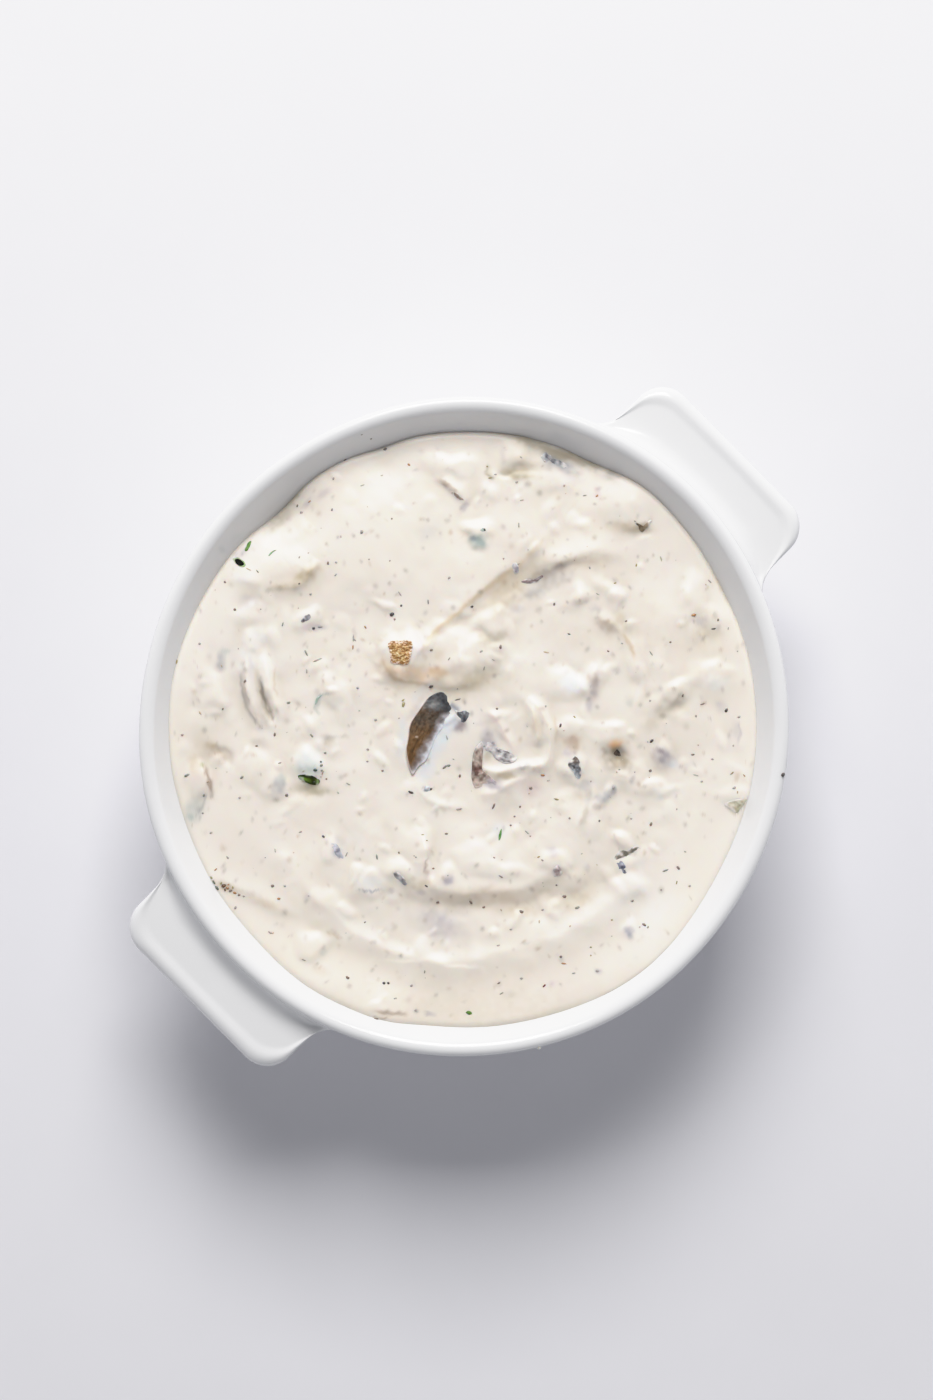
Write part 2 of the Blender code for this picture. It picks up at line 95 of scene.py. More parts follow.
def corner_arc(before, corner, after, radius, steps):
    """The arc of this radius that touches both straight runs that meet at a corner."""
    corner = np.array(corner)
    to_before = (np.array(before) - corner) / np.linalg.norm(np.array(before) - corner)
    to_after = (np.array(after) - corner) / np.linalg.norm(np.array(after) - corner)
    half = math.acos(np.clip(to_before @ to_after, -1, 1)) / 2
    middle = (to_before + to_after) / np.linalg.norm(to_before + to_after)
    centre = corner + middle * radius / math.sin(half)
    first = corner + to_before * radius / math.tan(half) - centre
    last = corner + to_after * radius / math.tan(half) - centre
    sweep = math.atan2(first[0] * last[1] - first[1] * last[0], first @ last)
    turn = np.linspace(0, sweep, steps + 1)
    return np.stack([centre[0] + first[0] * np.cos(turn) - first[1] * np.sin(turn),
                     centre[1] + first[0] * np.sin(turn) + first[1] * np.cos(turn)], axis=1)


def rounded_outline(corners):
    """An open outline of (radius, height, rounding, steps) corners: arcs joined by straight runs."""
    runs = []
    for index, (radius, height, rounding, steps) in enumerate(corners):
        if rounding == 0:
            runs.append([(radius, height)])
        else:
            runs.append(corner_arc(corners[index - 1][:2], (radius, height),
                                   corners[index + 1][:2], rounding, steps))
    return np.vstack(runs)


def even_steps(points, step):
    """The same outline with points added so that no straight run is longer than the step."""
    pieces = []
    for here, there in zip(points[:-1], points[1:]):
        count = max(1, math.ceil(np.linalg.norm(there - here) / step))
        pieces.append(here + (there - here) * np.linspace(0, 1, count, endpoint=False)[:, None])
    return np.vstack(pieces + [points[-1:]])


def oval(bearing):
    """How far out the outline lies: 1 plus a wave with two crests round the dish."""
    return 1 + OVAL * np.cos(2 * (bearing - OVAL_TURN))


def inner_radius(height):
    """Radius of the inside wall: a flare below the lip, and a steeper wall below the flare."""
    flare = np.maximum(height, FLARE_HEIGHT)
    radius = LIP_RADIUS - LIP_WIDTH - (DISH_HEIGHT - flare) * math.tan(FLARE_LEAN)
    return radius - (flare - height) * math.tan(WALL_LEAN)


def outer_radius(height):
    """Radius of the outside: nearly upright down to the collar's edge, then leaning in."""
    slope = (LIP_RADIUS - COLLAR_RADIUS) / (DISH_HEIGHT - COLLAR_HEIGHT)
    above = height - COLLAR_HEIGHT
    return COLLAR_RADIUS + above * np.where(above > 0, slope, math.tan(OUTSIDE_LEAN))


def dish_sections():
    """The dish's section beside a lug and through a lug, as two outlines with matching points."""
    inside = even_steps(rounded_outline([
        (0, FLOOR_HEIGHT, 0, 0),
        (float(inner_radius(FLOOR_HEIGHT)), FLOOR_HEIGHT, FLOOR_ROUNDING, 16),
        (float(inner_radius(FLARE_HEIGHT)), FLARE_HEIGHT, FLARE_ROUNDING, 6),
        (float(inner_radius(DISH_HEIGHT - LIP_DEPTH)), DISH_HEIGHT - LIP_DEPTH, 0, 0)]), 2.5 * MM)
    lip = rounded_outline([
        (float(inner_radius(DISH_HEIGHT - LIP_DEPTH)), DISH_HEIGHT - LIP_DEPTH, 0, 0),
        (LIP_RADIUS - LIP_WIDTH, DISH_HEIGHT, LIP_INNER_ROUNDING, 12),
        (LIP_RADIUS, DISH_HEIGHT, LIP_OUTER_ROUNDING, 10),
        (COLLAR_RADIUS, COLLAR_HEIGHT, 0, 0)])[1:-1]
    lug = even_steps(rounded_outline([
        (float(outer_radius(LUG_JOIN_TOP)), LUG_JOIN_TOP, 0, 0),
        (float(outer_radius(LUG_SHOULDER)) + 1.7 * MM, LUG_SHOULDER, 4.2 * MM, 8),
        (LUG_HOLLOW_RADIUS, LUG_HOLLOW, 5 * MM, 4),
        (LUG_REACH, LUG_TOP, LUG_EDGE_ROUNDING, 10),
        (LUG_REACH, LUG_END_BOTTOM, LUG_EDGE_ROUNDING, 8),
        (float(outer_radius(LUG_UNDERSIDE)) + 0.6 * MM, LUG_UNDERSIDE, 3 * MM, 6),
        (float(outer_radius(LUG_JOIN_BOTTOM)), LUG_JOIN_BOTTOM, 0, 0)]), 0.9 * MM)
    heights = np.linspace(LUG_JOIN_TOP, LUG_JOIN_BOTTOM, len(lug))
    wall = np.stack([outer_radius(heights), heights], axis=1)
    underside = even_steps(rounded_outline([
        (float(outer_radius(LUG_JOIN_BOTTOM)), LUG_JOIN_BOTTOM, 0, 0),
        (float(outer_radius(FOOT_HEIGHT)), FOOT_HEIGHT, FOOT_CORNER, 14),
        (FOOT_OUTER_RADIUS, FOOT_HEIGHT, FOOT_ROUNDING, 3),
        (FOOT_OUTER_RADIUS - 0.3 * MM, 0, FOOT_ROUNDING, 4),
        (FOOT_INNER_RADIUS, 0, FOOT_ROUNDING, 4),
        (FOOT_INNER_RADIUS - 1.2 * MM, FOOT_RECESS, FOOT_ROUNDING, 3),
        (0, FOOT_RECESS, 0, 0)]), 3 * MM)[1:]
    return np.vstack([inside, lip, wall, underside]), np.vstack([inside, lip, lug, underside])


def lug_columns(end, corner, side, fillet, wall):
    """Bearings of a quarter of the dish's columns, and how far each one reaches out into the lug."""
    fillet_y = LUG_HALF_WIDTH + LUG_FILLET
    fillet_x = math.sqrt((LUG_ROOT + LUG_FILLET) ** 2 - fillet_y ** 2)
    meeting = math.atan2(fillet_y, fillet_x)
    corner_x = LUG_REACH - LUG_CORNER
    corner_y = LUG_HALF_WIDTH - LUG_CORNER
    turn = np.linspace(0, math.pi / 2, corner, endpoint=False)
    back = np.linspace(-math.pi / 2, meeting - math.pi, fillet + 1)
    edge = np.vstack([
        np.stack([np.full(end, LUG_REACH), np.linspace(0, corner_y, end, endpoint=False)], axis=1),
        np.stack([corner_x + LUG_CORNER * np.cos(turn), corner_y + LUG_CORNER * np.sin(turn)], axis=1),
        np.stack([np.linspace(corner_x, fillet_x, side, endpoint=False),
                  np.full(side, LUG_HALF_WIDTH)], axis=1),
        np.stack([fillet_x + LUG_FILLET * np.cos(back), fillet_y + LUG_FILLET * np.sin(back)], axis=1)])
    along = np.concatenate(([0], np.cumsum(np.linalg.norm(np.diff(edge, axis=0), axis=1))))
    bearing = np.arcsin(along / along[-1] * math.sin(meeting))
    reach = edge - LUG_ROOT * np.stack([np.cos(bearing), np.sin(bearing)], axis=1)
    rest = np.linspace(meeting, math.pi / 2, wall + 1)[1:]
    return np.concatenate([bearing, rest]), np.vstack([reach, np.zeros((wall, 2))])


def round_columns(bearing, reach):
    """A quarter's columns carried round the whole dish by mirroring across Y and then across X."""
    bearing = np.concatenate([bearing, math.pi - bearing[-2::-1]])
    reach = np.vstack([reach, reach[-2::-1] * (-1, 1)])
    bearing = np.concatenate([bearing, 2 * math.pi - bearing[-2:0:-1]])
    return bearing, np.vstack([reach, reach[-2:0:-1] * (1, -1)])


def ring_faces(rows, columns, first=0):
    """Quads between closed rings of vertices that follow each other in the vertex list."""
    row = np.arange(rows - 1)[:, None] * columns + first
    here = np.arange(columns)[None, :]
    following = (here + 1) % columns
    return np.stack([row + here, row + columns + here, row + columns + following, row + following],
                    axis=-1).reshape(-1, 4)


def fan_faces(pole, first, columns, outwards):
    """Triangles from a pole to the ring that starts at a vertex."""
    here = np.arange(columns)
    following = (here + 1) % columns
    ring = (here, following) if outwards else (following, here)
    return np.stack([np.full(columns, pole), first + ring[0], first + ring[1]], axis=1)


def mesh_piece(name, vertices, quads, triangles=None):
    """A smooth mesh object at the origin from arrays of vertices, quads and triangles."""
    faces = quads.tolist() + ([] if triangles is None else triangles.tolist())
    mesh = bpy.data.meshes.new(name)
    mesh.from_pydata(np.asarray(vertices, float).tolist(), [], faces)
    mesh.shade_smooth()
    piece = bpy.data.objects.new(name, mesh)
    bpy.context.scene.collection.objects.link(piece)
    return piece


def dish_mesh():
    """Rings of the section turned round Z; lug columns are carried out along their reach.

    A small wobble of the lip, worked out from the bearing, keeps the turned shape from being perfect.
    """
    plain, lugged = dish_sections()
    bearing, reach = round_columns(*lug_columns(end=12, corner=12, side=6, fillet=10, wall=58))
    full = LUG_REACH - LUG_ROOT
    share = np.clip(np.linalg.norm(reach, axis=1) / full * 2.5, 0, 1)
    settled = share * share * (3 - 2 * share)
    carried = ((lugged[:, 0] - plain[:, 0]) / full)[1:-1, None]
    radius = plain[1:-1, 0][:, None]
    height = plain[1:-1, 1][:, None] + (lugged[:, 1] - plain[:, 1])[1:-1, None] * settled
    wobble = SLOW_WOBBLE * np.sin(3 * bearing + 0.6) + QUICK_WOBBLE * np.sin(7 * bearing + 2.0)
    high = np.clip((height - WOBBLE_START) / (DISH_HEIGHT - WOBBLE_START), 0, 1)
    x = (radius * np.cos(bearing) + carried * reach[:, 0]) * oval(bearing)
    y = (radius * np.sin(bearing) + carried * reach[:, 1]) * oval(bearing)
    x = x + wobble * high * np.cos(bearing)
    y = y + wobble * high * np.sin(bearing)
    height = height - LIP_SAG * high * (1 + np.sin(2 * bearing + 1.1))
    rings = np.stack([x, y, height], axis=-1)
    rows, columns = rings.shape[:2]
    vertices = np.vstack([rings.reshape(-1, 3), [(0, 0, FLOOR_HEIGHT), (0, 0, FOOT_RECESS)]])
    floor_pole = rows * columns
    caps = np.vstack([fan_faces(floor_pole, 0, columns, True),
                      fan_faces(floor_pole + 1, floor_pole - columns, columns, False)])
    return mesh_piece("dish_glazed", vertices, ring_faces(rows, columns), caps)


def add_node(tree, kind, sockets=None, **settings):
    """A shader node with its settings; each named socket gets a value or a link from another socket."""
    made = tree.nodes.new(kind)
    for key, value in settings.items():
        setattr(made, key, value)
    for key, value in (sockets or {}).items():
        if isinstance(value, bpy.types.NodeSocket):
            tree.links.new(value, made.inputs[key])
        else:
            made.inputs[key].default_value = value
    return made


def mottle_group():
    """Soft irregular variation: two sizes of noise, put out as a colour factor and a height."""
    group = bpy.data.node_groups.new("soft_mottle", 'ShaderNodeTree')
    for name, default in (("Size", 200.0), ("Amount", 0.1)):
        socket = group.interface.new_socket(name, in_out='INPUT', socket_type='NodeSocketFloat')
        socket.default_value = default
    for name in ("Factor", "Height"):
        group.interface.new_socket(name, in_out='OUTPUT', socket_type='NodeSocketFloat')
    inlet = group.nodes.new('NodeGroupInput')
    outlet = group.nodes.new('NodeGroupOutput')
    where = add_node(group, 'ShaderNodeTexCoord').outputs["Object"]
    broad = add_node(group, 'ShaderNodeTexNoise', {
        "Vector": where, "Scale": inlet.outputs["Size"], "Detail": 3.0, "Roughness": 0.55})
    fine_size = add_node(group, 'ShaderNodeMath', {0: inlet.outputs["Size"], 1: 5.3},
                         operation='MULTIPLY')
    fine = add_node(group, 'ShaderNodeTexNoise', {
        "Vector": where, "Scale": fine_size.outputs[0], "Detail": 2.0})
    mixed = add_node(group, 'ShaderNodeMath', {0: fine.outputs["Fac"], 1: 0.35,
                                               2: broad.outputs["Fac"]}, operation='MULTIPLY_ADD')
    centred = add_node(group, 'ShaderNodeMath', {0: mixed.outputs[0], 1: 0.675}, operation='SUBTRACT')
    factor = add_node(group, 'ShaderNodeMath', {0: centred.outputs[0], 1: inlet.outputs["Amount"],
                                                2: 1.0}, operation='MULTIPLY_ADD')
    group.links.new(factor.outputs[0], outlet.inputs["Factor"])
    group.links.new(mixed.outputs[0], outlet.inputs["Height"])
    return group


def new_material(name):
    """An empty node material with its Principled shader wired to the output."""
    material = bpy.data.materials.new(name)
    material.use_nodes = True
    tree = material.node_tree
    shader = tree.nodes["Principled BSDF"]
    return material, tree, shader


def add_mottle(tree, size, amount):
    """Places the mottle group in a material, with its own size and amount."""
    made = add_node(tree, 'ShaderNodeGroup', node_tree=soft_mottle)
    made.inputs["Size"].default_value = size
    made.inputs["Amount"].default_value = amount
    return made


def tinted(tree, colour, factor):
    """A colour, or a colour socket, multiplied by a factor that varies over the surface."""
    grey = add_node(tree, 'ShaderNodeCombineColor', {"Red": factor, "Green": factor, "Blue": factor})
    product = add_node(tree, 'ShaderNodeMix', {"Factor": 1.0}, data_type='RGBA', blend_type='MULTIPLY')
    if isinstance(colour, bpy.types.NodeSocket):
        tree.links.new(colour, product.inputs["A"])
    else:
        product.inputs["A"].default_value = (*colour, 1.0)
    tree.links.new(grey.outputs["Color"], product.inputs["B"])
    return product.outputs["Result"]


def add_bump(tree, shader, height, strength, distance):
    """A Bump node that feeds the shader's normal."""
    bump = add_node(tree, 'ShaderNodeBump', {"Strength": strength, "Distance": distance,
                                             "Height": height})
    tree.links.new(bump.outputs["Normal"], shader.inputs["Normal"])


def spread(tree, value, low, high):
    """Maps a value that lies round 0.7 onto a range from low to high."""
    made = add_node(tree, 'ShaderNodeMapRange', {"Value": value, "From Min": 0.45, "From Max": 0.9,
                                                 "To Min": low, "To Max": high})
    return made.outputs["Result"]


soft_mottle = mottle_group()
glaze, tree, shader = new_material("white_glaze")
mottle = add_mottle(tree, 45.0, 0.045)
tree.links.new(tinted(tree, (0.785, 0.785, 0.795), mottle.outputs["Factor"]), shader.inputs["Base Color"])
tree.links.new(spread(tree, mottle.outputs["Height"], 0.08, 0.19), shader.inputs["Roughness"])
add_bump(tree, shader, mottle.outputs["Height"], 0.25, 0.12 * MM)

dish = dish_mesh()
dish.data.materials.append(glaze)
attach(dish, "root")
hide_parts("bowl")

# ------------------------------------------------------------------------------------------------
# The dressing is thick cream that holds the spoon's marks: long arcs, a high fold, a small curl,
# and soft mounds where chopped pieces are sunk just under it and show through as grey veils.
# Places are in millimetres along u and v, the table's right and far sides as the dish lay.
# ------------------------------------------------------------------------------------------------
LUG_TURN = math.radians(45.35)
LEVEL = 43.0
GRID_SIDE = 308
LUMP_COUNT = 260
LUMP_REACH = 66
SPECK_COUNT = 760
SPECK_REACH = 68
# The dressing's side below its edge: heights, and shares of the wall's radius there.
SIDE_RINGS = ((38 * MM, 1.0), (24 * MM, 0.98), (9 * MM, 0.85))

# Where the edge stands higher or lower on the wall: bearing from u, rise, spread in degrees.
EDGE_SWELLS = (
    (28, -0.7, 8), (52, 1.0, 8), (64, -1.3, 6), (82, -0.4, 14), (107, -1.0, 5), (131, -2.9, 8),
    (172, 1.2, 20), (205, -0.5, 10), (241, 2.5, 13), (255, 1.5, 7), (276, 1.6, 16), (306, 2.5, 18),
)
# The spoon's marks: rises along the path, widths to its left and right, the power by which its
# flanks fall (higher is squarer), and the path itself.
RIDGES = (
    # The long arc round the near side: crisp at its left end, broad and soft at its right.
    ((0.1, 0.6, 0.8, 0.85, 0.75), 2.4, 4.2, 1.4, ((-43, -29), (-37, -37.6), (-29.5, -45), (-20.6, -51),
     (-12, -54.2), (-5, -55.2))),
    ((0.45, 0.75, 0.85, 0.9, 0.95, 0.9, 0.6, 0.1), 3.2, 6.4, 1.5, ((-9, -54.8), (-1, -54.9), (7.2, -53.4),
     (16.2, -51), (24.4, -47.5), (31.3, -42.6), (36.4, -38.4), (42, -34))),
    # The lip of the shelf inside it, and the trough below that lip.
    ((0.1, 0.5, 0.9, 1, 1, 0.9, 0.6, 0.1), 6.5, 2, 1.6, ((-25, -27), (-19.6, -33.4), (-12, -36.6),
     (-4, -38.2), (5, -38.4), (13, -37.4), (20, -33.6), (26, -27))),
    ((0, -0.5, -0.6, -0.7, -0.7, 0), 2.4, 3.4, 1.8, ((-18, -38.6), (-8, -41.6), (4, -42.2), (15, -41.4),
     (25, -39.4), (33, -35))),
    # The high fold: a broad slope rises to its crest, then drops to the near side.
    ((0.45, 0.65, 0.7, 0.75, 0.68, 0.42, 0.22, 0.1), 4.8, 1.4, 1.5, ((-9, 19.4), (-6.2, 23.2), (-1, 27.6),
     (3.8, 32), (8.8, 35.8), (13.2, 38.6), (17.2, 43.2), (22, 48.4))),
    ((0.3, 0.5, 0.6, 0.4, 0), 8, 5, 1.7, ((-14, 26), (-8, 32), (0, 38), (10, 43), (20, 48))),
    ((0, -0.2, -0.3, -0.3, 0), 2, 6, 1.8, ((2, 27.4), (7, 31.4), (12, 35), (16, 38), (21, 40))),
    # The thin wet edge on the far wall, lower than the cream beside it.
    ((0, -0.9, -1.3, -1.2, -0.8, 0), 2.4, 1, 2, ((32, 60.2), (27.6, 61.6), (23.2, 63.3), (18.8, 65),
     (14, 66.8), (9.6, 68))),
    # The short crest beside the fold, with the sunk piece in the hollow under it.
    ((0.1, 0.65, 0.85, 0.75, 0.5, 0.25, 0), 3, 2.5, 1.5, ((16.4, 37.6), (20, 38.5), (24, 39.8), (28, 41.1),
     (32, 41.4), (36.4, 40.2), (40.4, 37.6))),
    ((0, -0.5, -0.6, -0.4, 0), 1.6, 3.4, 1.6, ((12.6, 34), (17.4, 35), (22, 37.2), (27, 38.4), (32, 38))),
    # The roll of cream round the mushroom stem, and the soft hem of its near side.
    ((0.2, 0.35, 0.4, 0.4, 0.2), 3.2, 1.2, 1.6, ((-18.4, 13.4), (-15, 11.4), (-9, 10.6), (-2, 9.4),
     (4.4, 11.6))),
    # The curl round the second mushroom piece, in two windings.
    ((0.1, 0.8, 1.1, 1.1, 1, 0.9, 0.7, 0.1), 1.2, 2, 1.5, ((14.6, 6.6), (17, 4.8), (18.9, 1.6),
     (19.8, -2.4), (19.9, -5.6), (19.4, -8), (17.6, -9.4), (14.6, -10))),
    ((0, 0.7, 0.9, 0.8, 0), 1.1, 0.8, 1.6, ((13.8, 6), (15.4, 3.6), (16.2, 0.8), (16.8, -2.6), (16.6, -5))),
    ((0.1, 0.8, 0.9, 0.7, 0.8, 0.5, 0), 1.6, 1, 1.4, ((19.6, -7.2), (17.2, -8.6), (13.6, -9), (10.2, -9.8),
     (7.2, -10.3), (5, -9.8), (3.6, -9))),
    ((0, 0.6, 0.8, 0.6, 0), 1.3, 1.1, 1.5, ((15, -11.6), (12, -12.6), (9.6, -13.6), (7, -15.4),
     (2.6, -16))),
    ((0, 0.5, 0.6, 0.5, 0), 1.2, 1.2, 1.5, ((3.6, 3.6), (6.6, 3), (8.6, 0.4), (10.4, -3.2), (12.6, -6.4))),
    # Fine lines near the middle and beside the pieces.
    ((0, 0.35, 0.4, 0), 1.2, 0.8, 1.6, ((-11.8, -13), (-8.8, -16.6), (-4.4, -18.6), (1.5, -19))),
    ((0, 0.4, 0.45, 0.3, 0), 2.8, 0.8, 1.5, ((29.6, -11), (28.6, -15), (28, -19), (26.8, -22.6),
     (24, -25.4))),
    ((0.1, 0.4, 0.7, 1.1, 1.2, 0.2), 3.6, 1.5, 1.4, ((-50, 33.4), (-46.4, 33), (-42.6, 32.6), (-38.4, 33.4),
     (-36, 35.8), (-33.6, 39))),
    ((0, 0.6, 0.7, 0.2), 2.6, 1.6, 1.5, ((-56.6, 34.2), (-53.4, 34.4), (-50, 34), (-47, 34.6))),
    ((0, 0.9, 1, 0.8, 0), 1.6, 1.4, 1.5, ((-50.6, 19), (-51, 14), (-50.6, 9), (-49.4, 4.6), (-46.6, -0.4))),
    ((0, 0.8, 0.9, 0.8, 0), 1.2, 1.6, 1.5, ((-47.6, 18.6), (-46.2, 14), (-45.2, 9), (-44.2, 5), (-43, 1))),
    ((0, -0.7, -1.2, -1.3, 0), 0.8, 0.9, 1.7, ((-48.6, 14), (-48, 10), (-47, 6.4), (-45.8, 3.2),
     (-44.6, 0.6))),
    ((0, 0.9, 1, 0.1), 2.4, 0.5, 1.5, ((-9, -35), (-8.6, -32), (-8.8, -28.6), (-10.4, -25))),
    ((0, 0.8, 0.9, 0.1), 2.6, 0.6, 1.6, ((-59, -17), (-59.6, -13.4), (-61, -9.6), (-62.6, -7.4))),
    ((0.1, 0.6, 0.7, 0.5, 0), 3, 1, 1.6, ((-61, -34.4), (-55, -38.4), (-49, -40.4), (-43, -42.6),
     (-38, -44))),
    ((0, 0.5, 0.6, 0.3, 0), 0.9, 2.6, 1.5, ((31, 26), (34.4, 24.4), (37, 21.4), (38.8, 18.2), (40, 15.4))),
    ((0, 0.6, 0.7, 0), 3.4, 1, 1.5, ((33, 49), (37, 47.8), (41, 46.4), (44.4, 48.4))),
    ((0, 0.8, 0.8, 0), 2.4, 0.7, 1.6, ((-7.4, 58), (-4.6, 56.8), (-1.6, 54.4), (0.6, 52.4))),
)
# Mounds over sunk pieces: u, v, half length, half width, turn in degrees, rise, squareness.
MOUNDS = (
    (-14.8, 17.2, 4.9, 5.6, 0, 1.8, 2), (-4, 16.6, 11.4, 6.4, 3, 1.5, 1.9),
    (6.4, 24.6, 3.8, 2.6, 20, 0.86, 1.5), (24.8, 9.7, 4.9, 3, -10, 0.62, 1.7),
    (29.6, 10.6, 2.1, 3.8, -8, 0.67, 1.5), (38, 52.4, 5.3, 3.8, -12, 0.96, 1.5),
    (12, 64.4, 2.9, 3.8, -8, 1.4, 1.7), (26.7, 30.4, 2.2, 2.1, 0, 0.77, 1.5),
    (33.4, 32.2, 3.8, 2.4, -30, 0.5, 1.2), (35.6, 29.8, 1.9, 1.8, 0, 0.67, 1.5),
    (53.6, 31.6, 2.9, 4.9, 8, 1.2, 1.5), (59, 12.2, 5.3, 2.5, -4, 0.86, 1.4),
    (-45, 38.6, 6.4, 3.8, 24, 0.48, 1.4), (-50.2, 26.6, 3.4, 1.9, 18, 0.5, 1.2),
    (-49.8, 20.6, 3.2, 3.8, -30, 0.6, 1.2), (-48, 7.6, 8.5, 3.7, 104, 0.77, 1.6),
    (-59, 7, 2.8, 3.5, 0, 0.67, 1.4), (-61.6, 1.6, 3.1, 2.4, 0, 0.38, 1.4),
    (-48, -8.6, 3.2, 4.4, 20, 0.62, 1.2), (-62, -12.8, 3.2, 3.5, 20, 0.96, 1.6),
    (-31.6, 9, 3.4, 3, 20, 0.62, 1.2), (-29, 5.6, 2.4, 3.8, 0, 0.48, 1.5),
    (-36.3, -8.8, 3.2, 3.9, 4, 1.05, 1.5), (-44.2, -14, 2.6, 3.3, 0, 0.58, 1.6),
    (-12, -27.6, 3.8, 4.7, 20, 0.58, 1.4), (-35.4, -51.4, 3.3, 3.1, 0, 0.96, 1.6),
    (-36, 55, 4, 2.2, 35, 0.67, 1.4), (-40.4, 46, 4.2, 2.6, 40, 0.58, 1.4),
    (25.6, -0.6, 4.2, 1.9, 2, 0.5, 1.2), (25.4, -8.8, 2.4, 4.2, -8, 0.67, 1.6),
    (34.4, -1.8, 4.2, 1.9, -4, 0.62, 1.2), (39.4, -10.6, 3.5, 2.8, 0, 0.58, 1.4),
    (46.2, -6.8, 2.8, 2.4, -30, 0.67, 1.6), (3.4, 46.6, 3.4, 2.2, -10, 0.86, 1.5),
    (3.2, 43.2, 2.7, 2.1, -20, 0.48, 1.6), (-4, 61.4, 5.2, 2.4, -10, 0.77, 1.4),
    (32.6, -16.6, 4, 1.5, 40, 0.58, 1.6), (37, -26.6, 2.8, 1.7, -10, 0.77, 1.5),
    (36.8, -32.4, 2.1, 2.4, -40, 0.48, 1.6), (38.4, -37.6, 3.8, 2.8, 20, 0.67, 1.4),
    (50, 9, 4.7, 2, 40, 0.58, 1.5), (57.6, 26.4, 3.5, 2, -20, 0.48, 1.5),
    (-31.4, -29.4, 2.4, 1.8, -60, 0.58, 1.6), (-22.6, -36.4, 3.5, 2.6, 0, 0.67, 1.6),
    (-25.4, -33.6, 1.9, 1.2, 20, 0.48, 1.5), (-15.4, -33.2, 3.1, 1.9, -40, 0.58, 1.5),
    (-3.8, -34.6, 2.4, 2, 0, 0.48, 1.6), (20.6, -31, 3.5, 2.2, 0, 0.58, 1.5),
    (3, -30, 5.3, 3.2, 10, 0.48, 1.4), (8, -33.4, 5.2, 1.9, -8, 0.48, 1.4),
    (44, -14.6, 5.3, 1.7, 0, 0.58, 1.4), (-37, 25.4, 2.8, 2, 30, 0.67, 1.6),
    (-19, 28.4, 2.8, 1.2, -20, 0.38, 1.4), (63.6, -16.2, 3.5, 1.9, 8, 0.67, 1.6),
    (38.6, -47.8, 1.8, 2.1, 10, 0.38, 1.6), (-20, -64.8, 2.1, 1.2, 0, 0.58, 1.4),
    (21.6, 57.2, 4.9, 1.9, -12, 0.48, 1.4), (25.4, 60, 2.8, 1.3, -25, 0.58, 1.5),
    (-32, -40.6, 3.5, 2.1, -30, 0.38, 1.4), (-28.6, -42.8, 1.9, 1.4, 0, 0.38, 1.4),
    (11, -15, 14, 11, 0, -0.8, 1.4), (-22, 42, 17, 12, 20, 0.8, 1.4), (52, -10, 9, 8, 0, -0.4, 1.3),
    (12.6, 59.8, 4.5, 1.3, 0, -0.59, 1.5), (35.8, -6.9, 2.6, 1.7, -40, -1.8, 1.4),
    (37.6, -8.6, 3.1, 2.1, 0, -0.42, 1.4), (3.6, 21, 3.5, 1.4, -10, -0.34, 1.4),
    (49, 4.6, 4, 1.7, 40, -0.42, 1.4), (41.6, 46, 1.9, 1.3, 0, -0.5, 1.4),
    (-36.4, -14.6, 3.4, 1.5, 0, -0.25, 1.2), (-57, -6.4, 3.5, 1.5, -40, -0.59, 1.5),
)
# Tints of the cream where something shows through it, and of painted shade and light: tan, olive and
# the shade tint mostly paint shade, and white and pale also paint light in some rows.
PLUM = (0.26, 0.21, 0.24)
LILAC = (0.48, 0.45, 0.50)
SLATE = (0.28, 0.30, 0.35)
TEAL = (0.38, 0.46, 0.44)
GREY = (0.32, 0.29, 0.26)
OLIVE = (0.36, 0.31, 0.19)
BROWN = (0.30, 0.20, 0.14)
TAN = (0.60, 0.46, 0.30)
DARK = (0.07, 0.065, 0.07)
PALE = (0.74, 0.78, 0.82)
WHITE = (0.88, 0.87, 0.86)
SHADE = (0.62, 0.54, 0.42)
